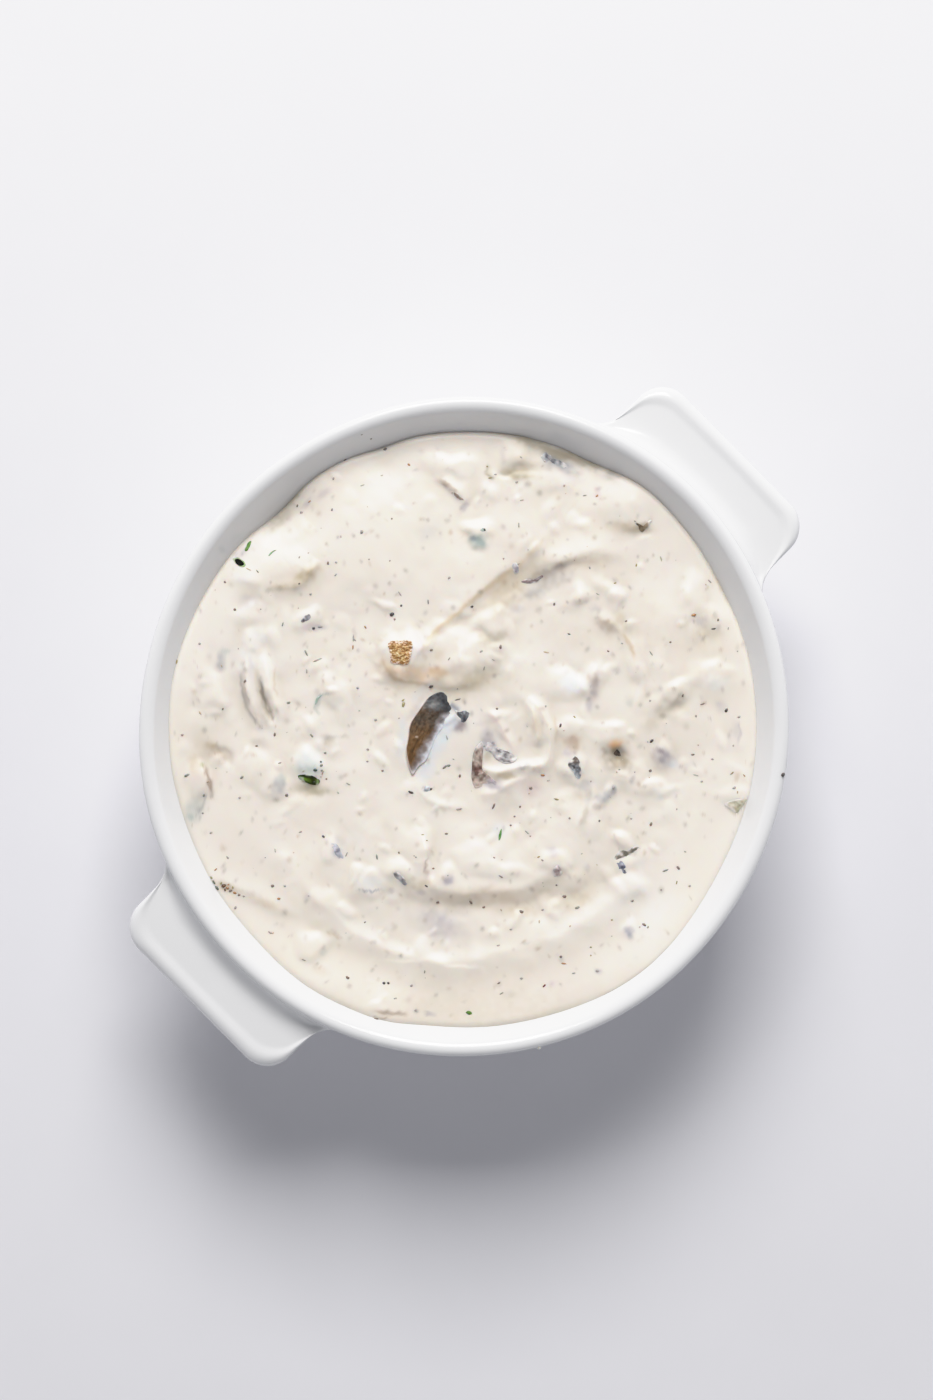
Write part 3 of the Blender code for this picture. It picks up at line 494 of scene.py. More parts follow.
# Soft veils where a sunk piece shows through, and painted shade and light. Most tan and olive rows,
# some grey and brown ones and the shade-tint rows are painted shade under lumps, below crests and
# along folds and edges; the rows marked below as painted light carry pale and white tints. Columns:
# u, v, half length, half width, turn, tint, strength.
VEILS_PAINTED_SHADE_AND_LIGHT = (
    (3.2, 43.3, 2.3, 1.7, -18, TEAL, 0.92), (1.9, 44, 0.9, 0.6, 0, SLATE, 0.67),
    (-8.5, 45.4, 3.2, 2.1, 0, TEAL, 0.2), (16.2, 32, 3, 1.9, 10, SLATE, 0.6),
    (12.4, 27.6, 1.9, 1, 0, LILAC, 0.49), (17.3, 27.3, 0.8, 0.9, 0, GREY, 0.34),
    (21.8, 36.8, 3.2, 0.9, 26, PLUM, 0.66), (17.2, 34.8, 2.8, 1.5, 20, PLUM, 0.7),
    (32, 38, 5, 3, 0, TAN, 0.12), (30.4, 9.2, 1.2, 2.9, -10, PLUM, 0.5),
    (29.9, 11.4, 1.5, 1.5, 0, BROWN, 0.3), (29, 5, 0.9, 1.6, 0, LILAC, 0.49),
    (35.6, 13.2, 1, 0.8, 0, LILAC, 0.43), (38.6, 5.6, 0.9, 1.4, 20, TEAL, 0.3),
    (30.6, 27.6, 1.4, 0.8, 0, LILAC, 0.37), (55.4, 24.6, 2.2, 1.2, -20, LILAC, 0.55),
    (58.6, 26, 0.8, 0.8, 0, GREY, 0.37), (50.5, 7.2, 1.2, 0.8, 50, GREY, 0.55),
    (48.2, 4.8, 2, 0.7, 40, GREY, 0.3), (46.3, 2.5, 0.8, 0.7, 0, DARK, 0.34),
    (60, 4.6, 1.6, 1.2, -40, LILAC, 0.43), (25.2, -3.6, 2.1, 1.8, 0, (0.52, 0.39, 0.3), 0.72),
    (24.6, -5.6, 1.5, 1.3, 0, LILAC, 0.62), (25.6, -5, 1.4, 1.1, 0, TAN, 0.44),
    (46.8, -7.2, 2.9, 2, -34, (0.36, 0.33, 0.37), 0.86), (45.8, -5.7, 1.6, 0.6, -26, PLUM, 0.62),
    (48.6, -8.8, 1.6, 1, -20, PALE, 0.55), (28.2, -13.4, 1.9, 1.3, 20, SLATE, 0.47),
    (28.9, -16.2, 0.8, 2.4, -6, GREY, 0.34), (31.9, -16.8, 2, 1, 16, SLATE, 0.56),
    (34.8, -14.7, 0.8, 1, 0, (0.34, 0.33, 0.34), 0.66), (30.9, -18.6, 0.9, 0.8, 0, GREY, 0.5),
    (39.3, -12.4, 0.7, 0.9, 0, SLATE, 0.43), (63.4, -1.6, 1, 2.6, 6, LILAC, 0.34),
    (62, -3, 0.9, 1.6, 0, LILAC, 0.24), (37.4, -8, 1.9, 1, -30, OLIVE, 0.49),
    (35.8, -6.2, 2, 1.4, -52, (0.1, 0.07, 0.05), 0.9), (35.3, -4.1, 1.6, 1, 4, (0.98, 0.62, 0.34), 0.94),
    (28, -20.6, 0.7, 2.4, -10, OLIVE, 0.27), (22.2, -17.6, 1.5, 0.7, 0, OLIVE, 0.34),
    (15.6, -14.4, 2.4, 1.9, 0, (0.62, 0.46, 0.51), 0.3), (9.4, -11.6, 2.4, 0.8, 0, TAN, 0.61),
    (13.4, -9.4, 1.5, 0.5, 14, SLATE, 0.34), (8, -19, 5.2, 2, 0, GREY, 0.12),
    (16.6, 0.6, 0.9, 2.3, -14, TAN, 0.34), (14.2, -9.3, 1.3, 0.5, 14, SLATE, 0.3),
    (5.4, -1.8, 1.5, 2.2, 10, LILAC, 0.4), (8.6, -2.4, 1.8, 0.7, -50, PLUM, 0.24),
    (4, 0.8, 1.6, 0.8, 20, LILAC, 0.27), (6.4, -13.6, 2.5, 1.2, -16, LILAC, 0.79),
    (-1.3, 0.2, 2, 1.4, 0, PLUM, 0.8), (-2.6, 2, 0.9, 0.8, 0, SLATE, 0.43),
    (-6.2, -3, 2.2, 6, -28, PALE, 0.92), (-3.4, 1.2, 1.5, 1.8, 0, PALE, 0.73),
    (-9.2, -10.4, 1.8, 2.4, -30, PALE, 0.85), (-14.6, -2.4, 1.1, 5, -4, PALE, 0.55),
    (-10.2, 8.2, 3.4, 1.2, 40, PALE, 0.55), (6.8, 19.6, 2.4, 1.9, 10, OLIVE, 0.34),
    (2.4, 12, 3.6, 1.6, 30, OLIVE, 0.24), (-5.6, 12.6, 1.2, 0.8, 0, TEAL, 0.43),
    (-3, 13, 3, 1.2, 0, TAN, 0.15), (2.6, 10.8, 4, 1.3, 20, (0.46, 0.36, 0.2), 0.42),
    (33, 23.5, 3, 1.5, -30, BROWN, 0.44), (36.6, 25.4, 1.6, 1, 40, TAN, 0.3),
    (38.8, 18.6, 0.6, 2.8, 24, TAN, 0.34), (41.4, 46.8, 1.6, 0.9, 20, OLIVE, 0.73),
    (37, 47.4, 3.6, 0.9, -4, TAN, 0.22), (31.2, 54.6, 0.8, 1.6, 20, (0.66, 0.46, 0.51), 0.3),
    (12.4, 59.3, 3.5, 1.7, -3, OLIVE, 0.8), (34.5, 58.8, 1.7, 1.2, 0, GREY, 0.52),
    (9, 63.4, 0.7, 2.4, 0, LILAC, 0.27), (5.6, 59.6, 0.9, 1.6, 10, OLIVE, 0.34),
    (25, 58.6, 3.4, 1.6, -20, LILAC, 0.26), (21.9, 61.9, 3.6, 1.4, -26, SLATE, 0.84),
    (19.6, 60.8, 1.8, 1.1, -20, SLATE, 0.39), (0.2, 51.6, 1.6, 0.7, 50, LILAC, 0.61),
    (-4, 56.4, 3.2, 0.6, -34, BROWN, 0.61), (-57, 15, 1.1, 2.6, -6, SLATE, 0.51),
    (-55.8, 17.6, 0.9, 0.6, 0, TEAL, 0.43), (-50.2, 29.6, 2.4, 1.5, 0, LILAC, 0.44),
    (-45.8, 31.8, 1, 0.6, 0, GREY, 0.37), (-43.4, 32.4, 1, 0.7, 0, GREY, 0.44),
    # Painted shade under the mound's lower right edge, and a white painted highlight on its lit top.
    (-37.2, 35.6, 2.9, 1, 34, (0.42, 0.33, 0.18), 0.55), (-52, 35, 3, 1.1, 6, WHITE, 0.5),
    (-52.4, 40.6, 1.8, 0.8, 30, LILAC, 0.43), (-43.6, 48, 4, 1.4, 42, (0.42, 0.37, 0.27), 0.6),
    (-37, 52.4, 1.6, 0.6, 40, LILAC, 0.43), (-33, 54.6, 1.6, 0.8, 40, LILAC, 0.3),
    (-34, 23.2, 1.6, 0.7, 6, LILAC, 0.79), (-36.8, 23.4, 1.6, 0.7, 16, (0.66, 0.52, 0.59), 0.49),
    (-34.4, 5.6, 0.6, 1.4, -20, TEAL, 0.4), (-32.6, 7.6, 1.3, 0.4, 16, TEAL, 0.42),
    (-30.6, 4.6, 1.6, 1, 0, TEAL, 0.18), (-31.8, -2.5, 2, 0.6, 3, SLATE, 0.42),
    (-31.8, -2.9, 1.6, 0.9, 3, OLIVE, 0.34), (-31, -4.2, 2, 0.7, 0, OLIVE, 0.17),
    (-28, -2.2, 1, 0.6, 0, GREY, 0.3), (-50, 14, 0.8, 3.4, 10, LILAC, 0.3),
    (-36.4, -8.2, 3, 3, 0, (0.72, 0.78, 0.78), 0.74), (-36.6, -10.2, 3, 1, -6, TEAL, 0.5),
    (-36.2, -14.4, 3.2, 1.3, -8, (0.44, 0.4, 0.26), 0.46), (-43.4, -13.8, 1.6, 2, 0, SLATE, 0.54),
    (-42.6, -12, 0.9, 1.4, 0, TEAL, 0.49), (-36.4, -15.2, 3.4, 1, -4, OLIVE, 0.37),
    (-63.2, -19.4, 3.4, 2.2, 66, TEAL, 0.46), (-64.4, -21, 1.1, 0.8, 0, TEAL, 0.49),
    (-57.6, -6.2, 3, 0.9, -38, BROWN, 0.46), (-59, -4.4, 1.4, 0.8, -20, TAN, 0.49),
    (-59.8, -12.6, 0.5, 3.2, 14, BROWN, 0.54), (-63.1, -8.8, 1.4, 2, 0, TAN, 0.4),
    (-61.4, -8.8, 0.6, 0.5, 0, (0.42, 0.46, 0.24), 0.85), (-51.4, -38.8, 3.4, 0.9, -14, GREY, 0.32),
    (-55.6, -37.5, 2.6, 1, -24, (0.36, 0.24, 0.12), 0.5), (-46, -41.4, 4, 1, -18, TAN, 0.34),
    (-30, -29.2, 0.9, 1.2, 30, LILAC, 0.73), (-22.4, -36.4, 3, 1.7, 0, PALE, 0.45),
    (-17.2, -38.4, 1, 0.6, 0, LILAC, 0.55), (-3.8, -35.8, 1.3, 1.1, 0, LILAC, 0.85),
    (-10, -38.6, 1.2, 0.8, -30, LILAC, 0.43), (-9.6, -36.6, 2.4, 0.9, 20, TAN, 0.41),
    (-1, -41.4, 5, 0.9, -2, OLIVE, 0.22), (-5.2, -46.2, 5.2, 3.6, -16, LILAC, 0.52),
    (-7, -44.2, 3, 1.4, 0, LILAC, 0.24), (8, -41, 8, 1, 4, TAN, 0.24),
    (23.6, -40.4, 4.4, 1.4, 20, OLIVE, 0.2), (4.6, -37.8, 2.4, 0.7, 14, OLIVE, 0.22),
    (21.6, -33.8, 0.9, 0.9, 0, PLUM, 0.73), (28.6, -33, 0.9, 0.8, 0, LILAC, 0.37),
    (31.6, -36, 0.8, 0.6, 0, LILAC, 0.3), (20.6, -29.2, 1.6, 1.2, 0, LILAC, 0.58),
    (38.4, -47.6, 1.4, 1.2, 0, LILAC, 0.95), (38.6, -49, 0.7, 0.9, 0, SLATE, 0.55),
    (31.2, -57, 0.9, 0.6, 0, LILAC, 0.73), (-17.6, -66.7, 3.2, 0.5, -8, BROWN, 0.85),
    (-15, -66.8, 1.9, 0.6, -4, BROWN, 0.43), (-8.2, -67, 1.4, 0.5, -16, LILAC, 0.73),
    (-11.4, -66.2, 0.5, 0.5, 0, SLATE, 0.61), (-33.6, -57, 2.6, 1, -20, TAN, 0.22),
    (-33, -52.6, 0.9, 1.2, 0, TEAL, 0.3), (10.4, -62.4, 1.5, 1, 0, GREY, 0.24),
    (20.4, -60, 0.9, 0.4, 40, (0.62, 0.48, 0.59), 0.43), (63.6, -12, 0.5, 1.4, -30, TAN, 0.43),
    (-16.4, -46.8, 0.7, 0.9, 0, GREY, 0.27), (-37, -40.2, 0.8, 1.1, -20, LILAC, 0.34),
    (-25.8, 21.8, 0.5, 1.4, 0, GREY, 0.24), (14.2, -50.6, 1.4, 0.4, 10, TEAL, 0.3),
    (8, -24, 2, 2, 0, PALE, 0.34), (48, -16, 4, 1.6, 0, WHITE, 0.37),
    # A broad dark brown tint round the pit is painted shade.
    (35.4, -8.2, 4.2, 2.4, -25, (0.3, 0.25, 0.18), 0.7), (33.4, -15.9, 2.2, 1.1, 45, SLATE, 0.44),
    (36.4, 23.4, 3.6, 1.6, -25, OLIVE, 0.3), (57.6, 22.2, 3.4, 1.8, -10, OLIVE, 0.32),
    (48.2, 4.6, 4.6, 2.6, 42, OLIVE, 0.24), (43.6, 0.6, 2.6, 1.7, 40, OLIVE, 0.24),
    (41, 45.8, 3.2, 1.4, 0, OLIVE, 0.36), (60.3, 33.2, 4.4, 0.9, 116, (0.5, 0.44, 0.31), 0.62),
    (-41, 53.3, 4.2, 1.1, 44, (0.42, 0.37, 0.28), 0.55), (37.4, 46.4, 4.2, 1.2, 0, TAN, 0.3),
    (-37, 35.4, 3.8, 1.9, 34, (0.46, 0.37, 0.22), 0.52), (-60, -5.6, 3, 1.8, -40, BROWN, 0.28),
    # Painted shade below the fold; round the stem's roll, a pale warm tint is painted light on its shaded
    # near side, and the tan rows that follow are painted shade along its hem.
    (9.6, 33.4, 4.4, 2, 42, TAN, 0.32), (-12, 12.4, 6, 2.2, -8, (0.95, 0.72, 0.52), 0.78),
    (-16.6, 12.2, 2.4, 1, -50, TAN, 0.5), (-6.4, 12.8, 2.6, 1.4, -10, (0.6, 0.42, 0.27), 0.72),
    (-5.9, 16.8, 1.6, 1.6, 0, TAN, 0.35), (-10.4, 18.2, 1.8, 3, 0, (0.8, 0.76, 0.8), 0.5),
    (4.8, 12.2, 3.6, 1.5, 42, OLIVE, 0.12), (8.6, 21.4, 1.3, 1.6, 0, OLIVE, 0.36),
    (5.6, 20.4, 2.2, 1.1, 0, OLIVE, 0.3), (7.8, 15.8, 1.2, 2.6, -10, OLIVE, 0.2),
    (-11.6, -36.8, 5, 1.6, -14, OLIVE, 0.3), (5, -39.4, 12, 1.6, 3, TAN, 0.34),
    (20, -36.8, 4.6, 1.8, 30, OLIVE, 0.3), (13, -43.2, 5, 1.5, 0, SHADE, 0.62),
    (26.8, -41, 4, 1.5, 24, SHADE, 0.66), (-34, -14.6, 3.6, 1.2, -10, OLIVE, 0.34),
    (-47.2, 3.4, 1.2, 3.8, 20, GREY, 0.32), (17.7, -1, 0.8, 3.4, -10, TAN, 0.24),
    (9.8, -11.7, 2.8, 0.9, 8, OLIVE, 0.3), (15.4, -14, 3.2, 2.6, 0, (0.66, 0.5, 0.5), 0.26),
    (28, 38.4, 5, 1.2, 8, TAN, 0.26), (-42.4, 32.8, 3.4, 1, 4, (0.52, 0.41, 0.27), 0.46),
    (-18, 14.6, 1.4, 2, 30, TAN, 0.34), (-29, -26.6, 1.4, 0.9, -40, LILAC, 0.3),
    # A pale warm tint, painted light, lifts the shade on a mound's near side; the grey row is painted
    # shade.
    (58.4, 10.2, 3.6, 1.8, 0, (0.98, 0.94, 0.89), 0.8), (-48.3, -4, 2, 1.5, 0, GREY, 0.3),
    # A near-white tint, painted light, on the lit top of the mound over the sunk piece.
    (25.4, 10.2, 3, 2.2, -10, (0.97, 0.97, 1), 0.8), (-11.2, 4.4, 1, 3.6, -36, LILAC, 0.42),
    (5.6, -3.6, 1.7, 2, 10, (0.42, 0.38, 0.42), 0.62), (5.6, -6.8, 1.3, 0.9, 60, OLIVE, 0.4),
    # Two pale tints, painted light, lift places that the relief leaves in shade.
    (12, 15, 5, 4.2, 0, (0.96, 0.91, 0.85), 0.5), (50, -20, 7, 6, 0, (0.96, 0.91, 0.83), 0.42),
    # Broad painted shade, where the cream lies low or turns away from the light, in a warm tint; the
    # white and pale rows among these are painted light that lifts places.
    (14, 34.6, 8, 4.6, 36, SHADE, 0.52), (9.4, 30.6, 5, 2.4, 42, SHADE, 0.82),
    (21, 34.7, 4.4, 2, 14, (0.46, 0.42, 0.39), 0.7), (0, 9.6, 8.5, 3.6, 12, SHADE, 0.55),
    (-14, 8.6, 5.5, 2.6, -12, SHADE, 0.22), (2, 19.6, 7.5, 6, 0, SHADE, 0.16),
    (30, 21, 10, 5, -12, SHADE, 0.18), (44, 21.6, 8, 5, 0, SHADE, 0.16), (57, 20.6, 6, 5, 0, SHADE, 0.2),
    (2, -65, 34, 7, 0, SHADE, 0.3), (-43, -50, 11, 7, -44, SHADE, 0.12), (55, -47, 12, 6, 46, SHADE, 0.16),
    # A white and a pale tint, painted light, lift two places; the rest of this block is painted shade.
    (41, -41, 7, 6, 0, WHITE, 0.45), (-50, 18, 7, 7, 0, PALE, 0.22), (14, 62, 6, 3.6, -12, SHADE, 0.26),
    (41, -7, 8, 5, 0, SHADE, 0.12), (29, -36, 8, 4, 30, SHADE, 0.22), (-42, 34, 8, 3.6, 8, SHADE, 0.22),
    (-59, -5, 6, 3.4, -30, SHADE, 0.22),
)
# Lines in the cream: painted shade along the near side of the high fold, round the stem's roll,
# below the short crest and at the far wall's edge, and lines where a fold laps or a piece just shows:
# tint, strength, half width, path.
LINES = (
    # The thin film of cream at the far wall's edge, in olive: partly its own thin colour, partly painted
    # shade.
    ((0.43, 0.37, 0.26), 0.7, 1.1, ((33.4, 60.1), (28.6, 61.8), (24, 63.5), (19.2, 65.2), (14.4, 66.9),
     (9.6, 68.2))),
    ((0.42, 0.36, 0.25), 0.5, 0.8, ((25, 62.3), (21.4, 63.5), (18, 64.7))),
    # A tan line of painted shade along the near side of the high fold's crest, fading towards its far end.
    ((0.7, 0.55, 0.35), 0.62, 0.64, ((-9.2, 17.4), (-8.2, 20.8), (-3, 25.4), (2.4, 30), (7.4, 34),
     (12.4, 37.6), (14.4, 39.4))),
    ((0.7, 0.55, 0.35), 0.26, 0.6, ((14, 39), (16.4, 41.6), (19, 44.6))),
    # Tan painted shade along the lower left side of the stem's roll, and beside its face.
    (TAN, 0.6, 0.5, ((-19.3, 16.6), (-18.7, 13.8), (-16.6, 11.6), (-13, 10.4), (-8, 9.9))),
    (TAN, 0.3, 0.45, ((-8.8, 15.4), (-9.8, 17.4), (-9, 20.2))),
    (DARK, 0.42, 0.3, ((13.7, 33.9), (15, 34.4), (16.6, 34.2), (17.8, 34.8))),
    (DARK, 0.3, 0.26, ((20.4, 40.2), (22, 40.1))),
    # Tan painted shade below the short crest.
    (TAN, 0.26, 0.4, ((20, 37.4), (25, 39), (30, 40.2))),
    ((0.2, 0.17, 0.15), 0.5, 0.42, ((-51.8, 13.6), (-52.1, 9), (-51, 5), (-49.2, 1.8), (-47.6, 0.2))),
    ((0.12, 0.1, 0.1), 0.74, 0.5, ((-47.9, 12.2), (-47.3, 8.4), (-46.6, 5), (-45.2, 2.2), (-44.8, 1))),
    (BROWN, 0.4, 0.3, ((-51.2, 12.2), (-51.4, 8.4), (-50.2, 5))),
    (TAN, 0.4, 0.3, ((-44.2, 14.4), (-44.4, 9.6), (-43.6, 6.6))),
    (TAN, 0.35, 0.4, ((20.9, 3.4), (21.4, -0.6), (21.2, -4.4))),
    (BROWN, 0.5, 0.3, ((-8.7, -30.4), (-9, -32.6), (-9.4, -34.4))),
    (LILAC, 0.5, 0.3, ((63.6, 1), (64.4, -1.4), (63.8, -4.4))),
    # Tan painted shade on the outer side of the near arc.
    (TAN, 0.45, 0.32, ((-32.6, -47.4), (-30.4, -48.8), (-28.6, -49.4))),
    (TAN, 0.42, 0.3, ((-35, -62.4), (-33.4, -63), (-31.8, -63.4))),
    (BROWN, 0.45, 0.3, ((-21.6, -67.2), (-20.6, -68.1), (-19, -68), (-17.8, -67.4))),
    (BROWN, 0.55, 0.28, ((-17, -34.2), (-15.4, -34.6), (-13.8, -36))),
    (OLIVE, 0.5, 0.32, ((5.4, 61.2), (5.2, 59.6), (6.2, 58), (7, 58.6))),
    (BROWN, 0.45, 0.28, ((55, 5), (56, 5.2), (56.4, 5.8))),
    (TAN, 0.4, 0.45, ((37, 22), (38.6, 19.2), (39.8, 16.4))),
    (GREY, 0.4, 0.35, ((40.3, 47.6), (41.4, 45.9), (42.4, 46.4), (43.6, 48.2))),
    (TEAL, 0.48, 0.34, ((-32.2, 7.6), (-34, 7.1), (-35, 5.4), (-34.7, 3.6), (-33.4, 2.6))),
    (SLATE, 0.62, 0.22, ((-25.4, -37.9), (-22.6, -38.5), (-19.4, -38.2))),
    (OLIVE, 0.5, 0.36, ((60.6, -18), (62.2, -19.5), (63.6, -20.2), (65.2, -18.6), (66.4, -17))),
    ((0.8, 0.63, 0.63), 0.36, 0.5, ((4.6, 3), (7, 2.2), (8.6, -0.4), (10, -3.4), (11.8, -6.2))),
    (SLATE, 0.85, 0.8, ((-3.6, 5.2), (-2.4, 4.6), (-1.2, 3.7))),
    (SLATE, 0.42, 0.3, ((-60.6, -15.4), (-61, -18), (-62.4, -20.8))),
    (BROWN, 0.45, 0.45, ((-61.6, -8.6), (-60.4, -10.8), (-59.4, -13.6), (-58.8, -16.4))),
)


def to_table(x, y):
    """Millimetres along u and v of places in the dish given in metres."""
    return ((x * math.cos(LUG_TURN) - y * math.sin(LUG_TURN)) / MM,
            (x * math.sin(LUG_TURN) + y * math.cos(LUG_TURN)) / MM)


def from_table(u, v):
    """Places in the dish, in metres, of millimetres along u and v."""
    return ((u * math.cos(LUG_TURN) + v * math.sin(LUG_TURN)) * MM,
            (-u * math.sin(LUG_TURN) + v * math.cos(LUG_TURN)) * MM)


def smooth_path(points, count):
    """A Catmull-Rom curve through the points: a cubic between each two, with even shares of count."""
    points = np.array(points, float)
    padded = np.vstack([2 * points[0] - points[1], points, 2 * points[-1] - points[-2]])
    where = np.linspace(0, len(points) - 1, count)
    run = np.minimum(where.astype(int), len(points) - 2)
    t = (where - run)[:, None]
    a, b, c, d = (padded[run + shift] for shift in range(4))
    return 0.5 * (2 * b + (c - a) * t + (2 * a - 5 * b + 4 * c - d) * t ** 2
                  + (3 * b - a - 3 * c + d) * t ** 3)


def path_frame(u, v, path):
    """Signed distance from places to a path, left of it positive, and the share of it passed."""
    best = np.full(u.shape, 1e9)
    signed = np.full(u.shape, 1e9)
    along = np.zeros(u.shape)
    steps = len(path) - 1
    for index in range(steps):
        start = path[index]
        way = path[index + 1] - start
        run = np.hypot(*way)
        way = way / run
        reach = np.clip((u - start[0]) * way[0] + (v - start[1]) * way[1], 0, run)
        du = u - start[0] - way[0] * reach
        dv = v - start[1] - way[1] * reach
        distance = np.hypot(du, dv)
        nearer = distance < best
        best = np.where(nearer, distance, best)
        signed = np.where(nearer, distance * np.sign(way[0] * dv - way[1] * du + 1e-12), signed)
        along = np.where(nearer, (index + reach / run) / steps, along)
    return signed, along


def near(u, v, centre, reach):
    """Where in the arrays the places lie within a square of this reach round a centre."""
    return (np.abs(u - centre[0]) < reach) & (np.abs(v - centre[1]) < reach)


def path_middle(path, margin):
    """The centre of the square that holds a path, and half its side with a margin."""
    return (path.min(axis=0) + path.max(axis=0)) / 2, np.ptp(path, axis=0).max() / 2 + margin


def blot(u, v, centre_u, centre_v, half_length, half_width, turn, power):
    """A soft oval: e to the minus (a a + b b) to a power, with a and b 0 in its middle, 1 at its edge."""
    angle = math.radians(turn)
    along = ((u - centre_u) * math.cos(angle) + (v - centre_v) * math.sin(angle)) / half_length
    across = (-(u - centre_u) * math.sin(angle) + (v - centre_v) * math.cos(angle)) / half_width
    return np.exp(-(along ** 2 + across ** 2) ** power)


def value_noise(u, v, size, seed):
    """Smooth noise from -1 to 1: random values on a square lattice, blended with a smooth step."""
    side = 256
    lattice = np.random.default_rng(seed).uniform(-1, 1, (side, side))
    a, b = u / size + side / 2, v / size + side / 2
    row, column = np.floor(a).astype(int), np.floor(b).astype(int)
    s, t = a - row, b - column
    s, t = s * s * (3 - 2 * s), t * t * (3 - 2 * t)
    row, column = row % (side - 1), column % (side - 1)
    low = lattice[row, column] * (1 - t) + lattice[row, column + 1] * t
    high = lattice[row + 1, column] * (1 - t) + lattice[row + 1, column + 1] * t
    return low * (1 - s) + high * s


def smooth_step(value, low, high):
    """0 below low, 1 above high, and a smooth cubic between."""
    share = np.clip((value - low) / (high - low), 0, 1)
    return share * share * (3 - 2 * share)


def relief(u, v, mound_u, mound_v):
    """Height of the stirred top over its level: ridges with two flank widths, plus mounds.

    The mounds have places of their own, bent more than the ridges' are, so that no two look alike.
    """
    height = np.zeros(u.shape)
    for rises, left, right, power, points in RIDGES:
        path = smooth_path(points, 8 * len(points))
        inside = near(u, v, *path_middle(path, 3.2 * max(left, right)))
        signed, along = path_frame(u[inside], v[inside], path)
        rise = np.interp(along, np.linspace(0, 1, len(rises)), rises)
        width = np.where(signed > 0, left, right)
        height[inside] += rise * np.exp(-np.abs(signed / width) ** power)
    for centre_u, centre_v, half_length, half_width, turn, rise, square in MOUNDS:
        inside = near(mound_u, mound_v, (centre_u, centre_v), 2.4 * max(half_length, half_width))
        height[inside] += rise * blot(mound_u[inside], mound_v[inside], centre_u, centre_v,
                                      half_length, half_width, turn, square)
    return height


def lumpiness(u, v):
    """How chunky the dressing is at a place, from 0 on the smooth parts to 1."""
    smooth_far = blot(u, v, -22.0, 40.0, 25.0, 15.0, 10, 1.5)
    smooth_near = smooth_step(np.hypot(u, v + 4), 50, 56) * smooth_step(-v, 5, 20)
    return np.clip(1 - 0.85 * smooth_far - 0.8 * smooth_near, 0.1, 1)


def small_lumps(u, v, rough):
    """Low swellings strewn over the chunky parts: the sum of small soft ovals."""
    chance = np.random.default_rng(8)
    height = np.zeros(u.shape)
    for _ in range(LUMP_COUNT):
        bearing = chance.uniform(0, 2 * math.pi)
        reach = LUMP_REACH * math.sqrt(chance.uniform())
        centre = (reach * math.cos(bearing), reach * math.sin(bearing))
        size = chance.uniform(0.9, 3.0)
        rise = chance.uniform(0.08, 0.36)
        turn = chance.uniform(0, 180)
        flat = chance.uniform(0.45, 0.9)
        inside = near(u, v, centre, 2.5 * size)
        height[inside] += rise * rough[inside] * blot(u[inside], v[inside], *centre, size,
                                                      flat * size, turn, 1.4)
    return height


def edge_height(bearing):
    """Height of the dressing's edge on the wall over its level, from the swells by bearing."""
    rise = np.zeros(bearing.shape)
    for centre, swell, degrees in EDGE_SWELLS:
        away = (np.degrees(bearing) - centre + 180) % 360 - 180
        rise += swell * np.exp(-(away / degrees) ** 2)
    return rise


def edge_place(u, v):
    """A place's radius with the oval taken out, the wall's radius at the edge there, and its rise."""
    x, y = from_table(u, v)
    radius = np.hypot(x, y) / oval(np.arctan2(y, x)) / MM
    rise = edge_height(np.arctan2(v, u))
    return radius, inner_radius(LEVEL * MM) / MM + rise * math.tan(FLARE_LEAN), rise


def surface_height(u, v):
    """Height of the dressing's top over the table, in millimetres, at places in the dish."""
    rough = lumpiness(u, v)
    bent_u = u + 0.7 * value_noise(u, v, 4.4, 13) + 0.16 * value_noise(u, v, 1.7, 15)
    bent_v = v + 0.7 * value_noise(u, v, 4.4, 14) + 0.16 * value_noise(u, v, 1.7, 16)
    mound_u = bent_u + 0.9 * value_noise(u, v, 3.1, 17)
    mound_v = bent_v + 0.9 * value_noise(u, v, 3.1, 18)
    height = relief(0.4 * u + 0.6 * bent_u, 0.4 * v + 0.6 * bent_v, mound_u, mound_v)
    height += 0.34 * value_noise(u, v, 12.0, 3) + 0.16 * rough * value_noise(bent_u, bent_v, 5.2, 4)
    height += 0.07 * rough * value_noise(bent_u, bent_v, 2.6, 5) + small_lumps(bent_u, bent_v, rough)
    radius, wall, rise = edge_place(u, v)
    # Towards the wall the top evens out to the edge's own height, with a groove just inside it.
    near_wall = smooth_step(radius, 0.80 * wall, wall)
    height = height * (1 - 0.6 * near_wall) + rise * near_wall
    bearing = np.arctan2(v, u)
    groove = 0.45 + 0.3 * np.sin(3 * bearing + 0.8) + 0.2 * np.sin(8 * bearing)
    groove = np.clip(groove, 0.1, 0.9) + 0.9 * smooth_step(v, 10, 50)
    height -= groove * np.exp(-((wall - radius) / 0.9) ** 2)
    return height + LEVEL


def disc_grid(count):
    """A square grid bent onto a disc of radius 1 by x = a sqrt(1 - b b / 2), closer in the middle."""
    side = np.linspace(-1, 1, count)
    side = side * (0.78 + 0.22 * side ** 2)
    a, b = np.meshgrid(side, side, indexing='ij')
    return a * np.sqrt(1 - b ** 2 / 2), b * np.sqrt(1 - a ** 2 / 2)


def mix(first, second, share):
    """Two colours, or arrays of colours, blended by a share for each place."""
    share = np.clip(share, 0, 1)[..., None]
    return np.asarray(first) * (1 - share) + np.asarray(second) * share


